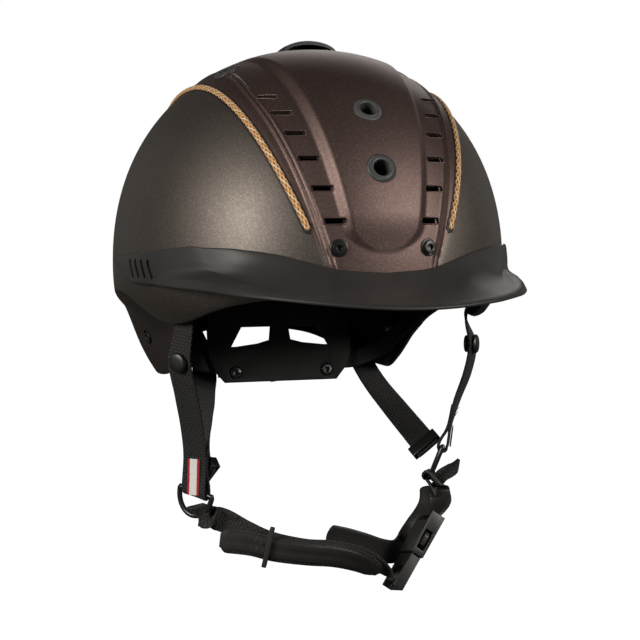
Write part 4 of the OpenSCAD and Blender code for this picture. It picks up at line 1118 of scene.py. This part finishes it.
def pad_swell(u, v, channels):
    """Thickness of a pad, thin at its edges and at the seams between its channels."""
    edge = (np.sqrt(np.clip(1 - np.abs(2 * u - 1) ** 5, 0, 1))
            * np.sqrt(np.clip(1 - np.abs(2 * v - 1) ** 4, 0, 1)))
    seam = 0.42 + 0.58 * np.abs(np.sin(math.pi * u * channels)) ** 0.45
    return 1 + 4.4 * edge * seam


CLOTH_FRAMES, CLOTH_RISE = 14, 1.4


def inflate(obj):
    """Lets the pad's cover swell as cloth by CLOTH_RISE at most, then takes the result."""
    src = [v.co.copy() for v in obj.data.vertices]
    mod = obj.modifiers.new("cloth", "CLOTH")
    mod.settings.use_pressure, mod.settings.uniform_pressure_force = True, 3.0
    mod.settings.tension_stiffness = mod.settings.compression_stiffness = 25
    mod.settings.effector_weights.gravity = 0
    mod.point_cache.frame_start, mod.point_cache.frame_end = 1, CLOTH_FRAMES
    scene = bpy.context.scene
    scene.frame_start, scene.frame_end = 1, CLOTH_FRAMES
    for f in range(1, CLOTH_FRAMES + 1):
        scene.frame_set(f)
    graph = bpy.context.evaluated_depsgraph_get()
    mesh = bpy.data.meshes.new_from_object(obj.evaluated_get(graph), depsgraph=graph)
    obj.modifiers.clear()
    for v, a in zip(mesh.vertices, src):
        d = v.co - a
        if d.length > CLOTH_RISE * MM:
            v.co = a + d.normalized() * CLOTH_RISE * MM
    obj.data = mesh
    scene.frame_set(1)
    finish_mesh(mesh, 0)


def pad_from(name, node, under, over_pts, lines):
    """Pad between two grids of points, with rows of thread along lines."""
    rings = [np.vstack([a, b[::-1]]) for a, b in zip(under, over_pts)]
    pad = skin(name, rings, knit_material(), ladder=True, angle=0)
    inflate(pad)
    place(pad, "helmet", node, slot="padding")
    seam = stitches(name + "_seams", lines, thread(), 3.2, 2.4, 0.5)
    place(seam, "helmet", slot="padding")


# Name, node, longitudes, heights, mesh columns and channels of the pads round the head
PADS = (("pad_brow", "brow_pad", -63.4, 63.4, -2.4, 23.4, 96, 5),
        ("pad_left", "left_side_pad", 96.6, 149.4, 0.6, 25.4, 44, 2),
        ("pad_right", "right_side_pad", -149.4, -96.6, 0.6, 25.4, 44, 2))


def unit_grid(cols, rows):
    return np.meshgrid(np.linspace(0, 1, cols), np.linspace(0, 1, rows), indexing="ij")


def make_pads():
    for name, node, a, b, low, high, cols, channels in PADS:
        u, v = unit_grid(cols, 17)
        lon, z = mix(a, b, u), mix(low, high, v)
        base = egg_at(lon, z, -LINER_IN - 0.4)
        lean = np.stack([np.sin(lon * RAD), -np.cos(lon * RAD), np.full_like(lon, 0.25)], -1)
        top = base - lean * pad_swell(u, v, channels)[..., None]
        seams = [int(round(c / channels * (cols - 1))) for c in range(1, channels)]
        lines = [top[i, 2:-2] - lean[i, 2:-2] * 0.2 for i in seams]
        lines += [top[2:-2, j] - lean[2:-2, j] * 0.3 for j in (1, 15)]
        pad_from(name, node, base, top, lines)
    u, v = unit_grid(49, 29)
    side, over = mix(-23.6, 23.6, v), mix(56.5, 123.5, u)
    base = egg_way(side, over, -LINER_IN - 0.4)
    top = egg_way(side, over, -LINER_IN - 0.4 - pad_swell(u, v, 3))
    lines = [top[i, 2:-2] - unit(top[i, 2:-2]) * 0.2 for i in (16, 32)]
    pad_from("pad_crown", "crown_pad", base, top, lines)


# --- size adjuster ---
BAND = [PIVOT, [74.6, -3, -25], [66.6, 15.5, -42], [61.5, 31.5, -53], [53, 42.3, -59.5], [46, 46.06, -61.6],
        [39.5, 46.06, -61.6]]
# [radius, height] of the eye of a band and of a visor screw's washer
BAND_EYE = [[PIVOT_R, -1.3], [7.5, -1.3], [7.5, 1.3], [PIVOT_R, 1.3]]
WASHER = [[3.1, 0.0], [4.5, 0.0], [4.5, 0.55], [3.9, 0.75], [3.1, 0.7]]


def flipped(points, side):
    return np.asarray(points, float) * np.array([side, 1, 1])


def make_adjuster():
    plate = moulded("cradle_black", (0.007, 0.007, 0.0072), 0.55)
    steel = metal("screw_steel", (0.10, 0.10, 0.10), 0.35)
    gear = moulded("gear_plastic", (0.05, 0.05, 0.055), 0.4)
    refined("nape_cradle", plate, "cradle", 0.0007)
    refined("dial_housing", plate, "cradle", 0.0008)
    refined("cradle_screws", gloss_black(), "cradle", 0.0002, 2)
    refined("dial_knob", black(), "dial", 0.0005)
    refined("dial_pinion", gear, "dial", 0.00012, 1)
    refined("left_rack", gear, "left_rack", 0.00015, 1)
    refined("right_rack", gear, "right_rack", 0.00015, 1)
    for side, name in SIDES:
        refined(name + "_pivot", steel, "helmet", 0.0003, 2)
        first, last = np.array([0, 0.55, 0.83]), np.array([0, 0.14, 0.99])
        across = [mix(first, last, soft(t)) for t in np.arange(len(BAND)) / (len(BAND) - 1)]
        band = ribbon(name + "_band_strap", flipped(BAND, side), across, 11, 1.5, plate, 8, 1.2)
        m = Matrix.Translation(flipped(PIVOT, side)) @ Matrix.Rotation(math.pi / 2, 4, "Y")
        eye = lathe(name + "_band_eye", round_profile(BAND_EYE, 0.4, 3), np.array(m), plate, 48)
        place(eye, "cradle", slot="cradle")
        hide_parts(name + "_band")
        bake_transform(band)


def make_screws():
    steel = metal("nut_steel", (0.32, 0.32, 0.33), 0.3)
    head = moulded("screw_black", (0.012, 0.012, 0.012), 0.30, 900.0, 0.00003)
    for node in ("visor_screws", "neck_guard_screws"):
        refined(node, head, "helmet", 0.0004, 3)
    for node in ("visor_nuts", "neck_guard_nuts"):
        refined(node, steel, "helmet", 0.0002, 2)
    for s, o in SCREWS:
        ring = lathe("washer_%d" % (s > 0), round_profile(WASHER, 0.15, 2), vent_frame(s, o), head, 48)
        place(ring, "helmet", slot="screw")


# --- harness ---
FRONT_ROUTE = {1: [[91.8, -50.5, -11], [82, -45, -28], [86.4, -43.6, -46], [86, -38, -64], [82, -33, -80],
                   [80, -29.3, -94], [77.3, -27, -103.9]],
               -1: [[-91.8, -50.5, -11], [-82, -45.2, -28], [-84.2, -43.6, -51], [-79, -38, -70],
                    [-74.5, -32, -88], [-72, -28.6, -104], [-71, -27.6, -120.4]]}
REAR_ROUTE = {1: [[50.8, 101, -30.1], [51.5, 84, -39], [54.5, 68, -51], [56, 57, -61.5], [58, 40.5, -74],
                  [61.5, 19, -86], [66.5, -3, -99], [69.4, -14.5, -106.4], [70.4, -19.5, -109.2]],
              -1: [[-49.4, 101, -30.6], [-46.5, 86, -42], [-43, 68, -58], [-44, 56, -69], [-48, 45, -77.5],
                   [-53, 28, -85], [-59, 8, -92], [-64, -10, -100], [-66, -22, -110], [-64.5, -30, -117]]}
# Middle of the top bar and height of the divider rings
DIVIDER_AT = {1: np.array([76.2, -26.6, -105.5]), -1: np.array([-71, -27.6, -122.5])}
DIVIDER_H = {1: 22.0, -1: 16.5}
# Place and direction of the snap studs, [radius, height] of their outline
STUD_AT = {1: [86.4, -43.6, -46], -1: [-84.2, -43.6, -51]}
STUD_OUT = {1: [0.782, -0.6227, 0.0215], -1: [-0.7762, -0.6179, -0.1251]}
STUD = [[0.01, -3.9], [4.8, -3.9], [4.8, -2.5], [2.0, -2.45], [2.0, 1.45], [5.4, 1.5], [5.4, 2.4],
        [4.7, 3.15], [3.4, 3.45], [0.01, 3.75]]
# Width of the narrower webbing of the chin strap and the socket
CHIN_W = 13


def ring_axes(side):
    if side > 0:
        y = unit([0.41, 0, 0.91])
        x = unit(np.cross(y, [0.9, -0.44, -0.4]))
    else:
        x = unit([0.67, -0.74, -0.22])
        y = unit(np.array([0, 0, 1]) - x * x[2])
    return x, y


def front_across(side, t):
    end = -ring_axes(1)[0] if side > 0 else ring_axes(-1)[0]
    high, middle = np.array([-0.36 * side, -0.93, 0]), np.array([-0.67 * side, -0.74, 0])
    top = mix(high, middle, float(soft(t * 4 - 0.6)))
    return mix(top, end, float(soft(t * 2 - 1)))


def rear_across(side, t):
    end = np.array([0.74, -0.22, 0.64]) if side > 0 else np.array([0.35, -0.6, 0.7])
    return mix(np.array([0.97, -0.1 * side, 0]), end, float(soft(t * 1.5 - 0.5)))


def looped(route, across, centre, radius, outward, back):
    """Route that runs round a bar at centre and comes back along itself on the side away from outward."""
    route = [np.asarray(p, float) for p in route]
    t = unit(centre - route[-2])
    o = unit(outward - np.dot(outward, t) * t)
    gap = o * 2.1
    main = route[:-1] + [centre + o * radius - t * 4, centre + o * radius]
    turn = [centre + radius * (o * math.cos(a) + t * math.sin(a)) for a in np.radians([45, 90, 135, 180])]
    tail = [centre - o * radius - t * 4]
    lengths = np.cumsum([np.linalg.norm(b - a) for a, b in zip(main[::-1], main[::-1][1:])])
    rev = main[::-1]
    for d in (12.0, back):
        i = int(np.searchsorted(lengths, d))
        before = lengths[i - 1] if i else 0.0
        p = mix(rev[i], rev[i + 1], (d - before) / (lengths[i] - before))
        tail.append(p - gap)
    pts = main + turn + tail
    acr = list(across[:-1]) + [across[-1]] * (len(pts) - len(across) + 1)
    return pts, acr


def make_straps():
    web = webbing()
    w, th = cfg().web_width / MM, cfg().web_thick / MM
    for side, name in SIDES:
        route = FRONT_ROUTE[side]
        n = len(route) - 1
        centre = DIVIDER_AT[side] - ring_axes(side)[1] * 1.5
        across = [front_across(side, i / n) for i in range(n + 1)]
        outward = np.array([0.74 * side, -0.67, 0])
        pts, acr = looped(route, across, centre, 2.4, outward, 24)
        strap = ribbon(name + "_front_webbing", pts, acr, w, th, web, 8, 0.9, cup=0.25, wave=0.25,
                       seed=side)
        carve(strap, [prism(circle(2.05, 24), basis(STUD_AT[side], STUD_OUT[side]), -6, 6)], 50)
        place(strap, "helmet", name + "_front_strap", slot="webbing")
        rear = REAR_ROUTE[side]
        n = len(rear) - 1
        ways = [rear_across(side, i / n) for i in range(n + 1)]
        strap = ribbon(name + "_rear_webbing", rear, ways, w, th, web, 8, 0.9, cup=0.25, wave=0.3,
                       seed=3 + side)
        place(strap, "helmet", name + "_rear_strap", slot="webbing")
        # two rows that sew down the fold, 17 and 20 mm above the ring
        line, ways, at = resampled(0.5, spline(route[::-1], 10), spline(np.array(across[::-1]), 10))
        rows = []
        for d in (17, 20):
            i = int(np.searchsorted(at, d))
            t = unit(line[i + 2] - line[i - 2])
            o = unit(outward - np.dot(outward, t) * t)
            a = unit(ways[i] - np.dot(ways[i], t) * t)
            c = line[i] + o * 1.1
            rows.append([c - a * 6, c + a * 6])
        box = stitches(name + "_fold_stitches", rows, thread(), 2.4, 1.9, 0.5)
        place(box, "helmet", slot="webbing")
    refined("front_anchors", black(), "helmet", 0.0006)
    refined("rear_anchors", black(), "helmet", 0.0006)


def make_tabs():
    mat = stripe()
    for side, name in SIDES:
        a, b = np.array(FRONT_ROUTE[side][-2:], float)
        out = unit([0.74 * side, -0.67, 0])
        reach = 1.1 if side > 0 else 1.2
        pts = [mix(a, b, t * reach + 0.1) + out * (1.3 + 2.5 * t) for t in (0, 0.35, 0.7, 1)]
        tab = ribbon(name + "_stripe", pts, [front_across(side, 0.9)] * 4, 8.6, 0.9, mat, 8, 0.6)
        place(tab, "helmet", name + "_stripe_tab", slot="stripe")


def make_studs():
    cap = metal("stud_metal", (0.09, 0.09, 0.088), 0.34)
    for side, name in SIDES:
        m = basis(STUD_AT[side], STUD_OUT[side])
        stud = lathe(name + "_snap", round_profile(STUD, 0.35, 4), m, cap, 72)
        place(stud, "helmet", name + "_stud", slot="steel")


def make_rings():
    mat = gloss_black()
    for side, name in SIDES:
        x, y = ring_axes(side)
        z = np.cross(x, y)
        h, r = DIVIDER_H[side], 1.5
        w = 12 - r
        bow = [(w * math.cos(a), -2 - (h - 2 - r) * math.sin(a)) for a in np.radians(np.linspace(0, 180, 41))]
        path = np.array([(w, -r)] + bow + [(-w, -r)] + [(c, -r) for c in np.linspace(-w, w, 17)[1:-1]])
        pts = DIVIDER_AT[side] + path[:, :1] * x + path[:, 1:] * y
        t = unit(np.roll(pts, -1, 0) - np.roll(pts, 1, 0))
        side_way = np.cross(t, z)
        a = (np.arange(14) * 2 * math.pi / 14)[None, :, None]
        rings = pts[:, None] + 1.4 * np.sin(a) * z + 1.5 * np.cos(a) * side_way[:, None]
        ring = skin(name + "_ring", rings, mat, closed=True)
        place(ring, "helmet", name + "_divider", slot="trim")
        refined(name + "_slider", mat, "helmet", 0.0012, 4)


CHIN = [[-63.72, -30.08, -134.43], [-57.5, -33.5, -139.5], [-47, -39, -145.5], [-34, -45, -151.5],
        [-16, -50, -155.5], [0, -52, -157], [16, -52.5, -161.5], [27, -51.5, -168], [32.6, -49.9, -173.4]]
CHIN_ACROSS = [[0.45, 0.2, 0.85], [0.3, 0.1, 0.9], [0.2, 0, 1], [0.1, 0, 1], [0, -0.1, 1], [0, -0.2, 1],
               [0, -0.4, 0.9], [-0.1, -0.75, 0.7], [-0.15, -0.95, 0.35]]
SLEEVE = [[-61, -38.6, -149], [-45, -43.6, -151], [-33, -48.8, -154], [-16, -53.3, -156.6],
          [0, -55.3, -158.6], [14, -55.8, -163], [25, -54.8, -170]]


def make_chin():
    web, skin_mat = webbing(), leather()
    x, y = ring_axes(-1)
    ring = DIVIDER_AT[-1] + x * 5.25 - y * 13.3
    route = [np.array(p, float) for p in CHIN[:0:-1]] + [ring]
    last = unit(0.5 * x - y * 0.86 + np.array([0.5, 0, 0.4]))
    across = [np.array(a, float) for a in CHIN_ACROSS[:0:-1]] + [last]
    pts, acr = looped(route, across, ring, 2.3, np.array([-0.35, -0.9, 0.1]), 20)
    strap = ribbon("chin_webbing", pts, acr, CHIN_W, 1.4, web, 8, 0.9, cup=0.2)
    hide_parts("chin_strap")
    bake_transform(strap)
    line, side, at = resampled(0.9, spline(SLEEVE, 10), spline(CHIN_ACROSS[1:8], 10))
    _, w, n = frames_along(line, side)
    rings, uvs, low, high = [], [], [], []
    for i, p in enumerate(line):
        e = math.sin(math.pi * min(max(at[i] / at[-1], 0.03), 0.97)) ** 0.5
        ring = []
        close = math.sqrt(max(0.3, 1 - (1 - min(at[i], at[-1] - at[i], 4.5) / 4.5) ** 2))
        for k in range(40):
            a = 2 * math.pi * k / 40
            x = math.cos(a) * 6.75 * close
            flat = 0.55 if abs(x) > 5.4 else 0.7 + 1.1 * e * (1 - 0.35 * math.exp(-(x / 1.3) ** 2))
            wrinkle = 0.07 * math.sin(at[i] * 1.9 + 2.2 * math.sin(x * 0.8))
            up = math.copysign(abs(math.sin(a)) ** 0.6, math.sin(a))
            ring.append(p + w[i] * x + n[i] * up * (flat + wrinkle))
            uvs.append((x, at[i]))
        rings.append(ring)
        if min(at[i], at[-1] - at[i]) < 5:
            continue
        for x, store in ((-5.5, low), (5.5, high)):
            for sgn in (-1, 1):
                store.append(p + w[i] * x + n[i] * sgn * 0.62)
    sleeve = skin("chin_cover", rings, skin_mat, uvs=uvs, angle=60)
    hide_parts("chin_sleeve")
    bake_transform(sleeve)
    seam = stitches("chin_seams", [low[0::2], low[1::2], high[0::2], high[1::2]], thread(), 2.6, 2.0, 0.45)
    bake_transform(seam)
    refined("keeper_ring", moulded("rubber", (0.012, 0.012, 0.012), 0.6), "keeper", 0.0004)


LOOP = [[70.2, -28.6, -128], [71.5, -31, -131.5], [70.5, -35.3, -136], [66, -40, -140.5], [63.4, -41.2, -142]]
LOOP_ACROSS = [[0.9, -0.3, 0.1], [0.9, -0.3, 0.1], [0.9, -0.3, 0.1], [0.5, -0.8, 0.1], [0.3, -0.92, 0]]
GUARD_LINE = [[69.2, -21.8, -130], [68.5, -22.6, -139], [63, -24, -147.5], [58.4, -24.5, -155],
              [52.6, -26.5, -161.6], [43, -33, -163.9], [32.6, -37.6, -161.5], [20, -40.8, -156.4],
              [10, -41, -153], [0, -40.5, -150.5]]
GUARD_ACROSS = [[0.4, -0.9, 0], [0.4, -0.92, 0.1], [0.5, -0.85, 0.1], [0.7, -0.6, -0.2], [0.5, -0.3, -0.8],
                [0.05, 0, -1], [-0.2, 0.1, -1], [-0.25, 0.1, -1], [-0.25, 0.1, -1], [-0.25, 0.1, -1]]
TIP = [[70.6, -28.4, -127.6], [72.6, -28.8, -125], [75.12, -29.42, -122.4], [80, -31.5, -119],
       [83.5, -32.5, -113.5]]


def make_buckle():
    mat = moulded("buckle_plastic", (0.014, 0.014, 0.013), 0.34, 1200.0, 0.00004, 0.05)
    refined("buckle_plug", mat, "plug", 0.0009, 4)
    refined("left_prong", mat, "left_prong", 0.0004, 3)
    refined("right_prong", mat, "right_prong", 0.0004, 3)
    refined("buckle_socket", mat, "helmet", 0.0013, 5)


def make_flaps():
    hide = leather()
    x, y = ring_axes(1)
    ring = DIVIDER_AT[1] - y * 20.5
    route = [np.array(p, float) for p in LOOP[:0:-1]] + [ring]
    across = [np.array(a, float) for a in LOOP_ACROSS[:0:-1]] + [-x]
    pts, acr = looped(route, across, ring, 2.5, np.array([0.5, -0.8, 0.1]), 9)
    sleeve = ribbon("socket_sleeve", pts, acr, CHIN_W, 1.9, hide, 10, 0.8,
                    swell=lambda t: (1.0, 1 + 0.8 * math.sin(math.pi * min(t * 1.4, 1))))
    place(sleeve, "helmet", "socket_strap", slot="leather")

    def end_round(t):
        d = min(t, 1 - t) * 100
        return (math.sqrt(max(0.08, 1 - (1 - min(d / 3.0, 1)) ** 2)) if d < 3 else 1.0, 1.0)
    flap = ribbon("buckle_flap", GUARD_LINE, GUARD_ACROSS, 13.5, 1.6, hide, 10, 0.8, cup=0.3, swell=end_round)
    place(flap, "helmet", "buckle_guard", slot="leather")
    line, side, _ = resampled(1.0, spline(GUARD_LINE, 10), spline(GUARD_ACROSS, 10))
    _, w, n = frames_along(line, side)
    rows = [line[3:-3] + w[3:-3] * x + n[3:-3] * s * 0.95 for x in (-5.4, 5.4) for s in (-1, 1)]
    seam = stitches("flap_seams", rows, thread(), 2.6, 2.0, 0.42)
    place(seam, "helmet", slot="leather")
    tip = ribbon("webbing_tip", TIP, [[0.4, 0.1, 0.9]] * 5, 8, 1.3, webbing(), 8, 0.5,
                 swell=lambda t: (min(1.0, 0.25 + 2.4 * (1 - t)), 1.0))
    place(tip, "helmet", "strap_tip", slot="webbing")


# --- camera, light and floor ---
# Camera axes and distance, from the fit to the photograph
RIGHT, UP = Vector((0.9475, -0.3198, 0.0)), Vector((0.0117, 0.0347, 0.9993))
BACK = Vector((-0.3196, -0.9468, 0.0366))
CAMERA_FAR = 0.886
# Half the floor's side and its depth below the lowest point, in metres
FLOOR_HALF, FLOOR_DROP = 6.0, 0.02
# Name, place in metres along the camera's axes, size, power and colour of each light
LIGHTS = (("left_box", (-1.15, 0.45, 1.05), (0.6, 0.6), 18, (1.0, 0.96, 0.91)),
          ("right_box", (1.25, 0.5, 0.9), (0.6, 0.6), 15, (1.0, 0.96, 0.91)),
          ("back_box", (0.25, 0.9, -1.5), (0.9, 0.6), 4, (1.0, 0.97, 0.93)),
          ("rim_left", (-1.0, 0.25, -1.0), (0.4, 0.8), 0.25, (1, 1, 1)),
          ("rim_right", (1.0, 0.25, -1.0), (0.4, 0.8), 0.4, (1, 1, 1)))


def area(name, place_of, size, power, colour):
    """Soft light that looks at the origin."""
    data = bpy.data.lights.new(name, "AREA")
    data.shape, data.size, data.size_y = "RECTANGLE", size[0], size[1]
    data.energy, data.color = power, colour
    obj = bpy.data.objects.new(name, data)
    bpy.context.scene.collection.objects.link(obj)
    obj.location = RIGHT * place_of[0] + UP * place_of[1] + BACK * place_of[2]
    obj.rotation_mode = "QUATERNION"
    obj.rotation_quaternion = (-obj.location).to_track_quat("-Z", "Y")


def floor_material():
    """Pale to the camera and dark to the light that falls on it."""
    def build(t):
        return {"Base Color": (0.10, 0.10, 0.10, 1), "Roughness": 0.9, "Specular IOR Level": 0.0,
                "Emission Color": (1, 1, 1, 1),
                "Emission Strength": t.add("ShaderNodeLightPath").outputs["Is Camera Ray"]}
    return new_material("floor_white", build)


def make_stage():
    scene = bpy.context.scene
    scene.view_settings.view_transform = "Standard"
    data = bpy.data.cameras.new("camera")
    data.sensor_width, data.lens = 36.0, 86.57
    data.shift_x, data.shift_y = 0.0259, -0.0909
    data.clip_start, data.clip_end = 0.01, 100.0
    cam = bpy.data.objects.new("camera", data)
    scene.collection.objects.link(cam)
    m = Matrix((RIGHT, UP, BACK)).transposed().to_4x4()
    m.translation = BACK * CAMERA_FAR
    cam.matrix_world = m
    scene.camera = cam

    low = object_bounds()[0].z
    mesh = bpy.data.meshes.new("floor")
    s, z = FLOOR_HALF, low - FLOOR_DROP
    mesh.from_pydata([(-s, -s, z), (s, -s, z), (s, s, z), (-s, s, z)], [], [(0, 1, 2, 3)])
    mesh.materials.append(floor_material())
    floor = bpy.data.objects.new("floor", mesh)
    scene.collection.objects.link(floor)
    floor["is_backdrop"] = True

    world = bpy.data.worlds.new("studio")
    scene.world = world
    world.use_nodes = True
    world.node_tree.nodes.clear()
    t = Tree(world.node_tree)
    seen = t.add("ShaderNodeLightPath").outputs["Is Camera Ray"]
    room = t.add("ShaderNodeBackground", {"Color": (1.0, 0.985, 0.96, 1), "Strength": 0.05}).outputs[0]
    white = t.add("ShaderNodeBackground", {"Color": (1, 1, 1, 1), "Strength": 1.0}).outputs[0]
    mixed = t.add("ShaderNodeMixShader", {0: seen, 1: room, 2: white}).outputs[0]
    t.add("ShaderNodeOutputWorld", {"Surface": mixed})
    for light in LIGHTS:
        area(*light)


# --- operators and panel ---
def operator(name, label, doc, work):
    """Operator class that runs one making function."""
    def execute(self, context):
        work()
        return {"FINISHED"}
    return type("HELMET_OT_" + name, (bpy.types.Operator,), {
        "bl_idname": "helmet." + name, "bl_label": label, "__doc__": doc,
        "bl_options": {"REGISTER", "UNDO"}, "execute": execute})


STEPS = [operator(*row) for row in (
    ("shell", "Shell", "Outer shell with its vents", make_shell),
    ("panel", "Centre panel", "Raised panel with ribs and slots", make_panel),
    ("piping", "Piping", "Braided cords and their channels", make_piping),
    ("eyelets", "Eyelets", "Four ventilation rings", make_eyelets),
    ("scoop", "Top scoop", "Hood over the crown", make_scoop),
    ("visor", "Visor", "Peak with its side wings", make_visor),
    ("guard", "Neck guard", "Guard round the nape", make_guard),
    ("screws", "Screws", "Screws, washers and nuts", make_screws),
    ("liner", "Liner", "Foam liner", make_liner),
    ("pads", "Pads", "Comfort pads", make_pads),
    ("adjuster", "Size adjuster", "Cradle, bands, dial and racks", make_adjuster),
    ("straps", "Straps", "Front and rear webbing and anchors", make_straps),
    ("tabs", "Stripe tabs", "Woven tabs on the front straps", make_tabs),
    ("studs", "Studs", "Snap studs", make_studs),
    ("rings", "Rings", "Divider rings and sliders", make_rings),
    ("chin", "Chin strap", "Chin strap, cover and keeper", make_chin),
    ("buckle", "Buckle", "Side-release buckle", make_buckle),
    ("flaps", "Flaps", "Leather flap, sleeve and strap end", make_flaps),
    ("stage", "Stage", "Camera, lights, world and floor", make_stage))]


class HELMET_PT_build(bpy.types.Panel):
    """Lists the building steps."""

    bl_label = "Riding helmet"
    bl_idname = "HELMET_PT_build"
    bl_space_type = "VIEW_3D"
    bl_region_type = "UI"
    bl_category = "Helmet"

    def draw(self, context):
        for key in HelmetSettings.__annotations__:
            self.layout.prop(context.scene.helmet_settings, key)
        for step in STEPS:
            self.layout.operator(step.bl_idname)


CLASSES = [HelmetSettings, *STEPS, HELMET_PT_build]


def register():
    for item in CLASSES:
        bpy.utils.register_class(item)
    bpy.types.Scene.helmet_settings = PointerProperty(type=HelmetSettings)


def unregister():
    del bpy.types.Scene.helmet_settings
    for item in reversed(CLASSES):
        bpy.utils.unregister_class(item)


def main():
    register()
    for step in STEPS:
        getattr(bpy.ops.helmet, step.bl_idname.split(".")[1])()
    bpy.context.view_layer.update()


if __name__ == "__main__":
    main()
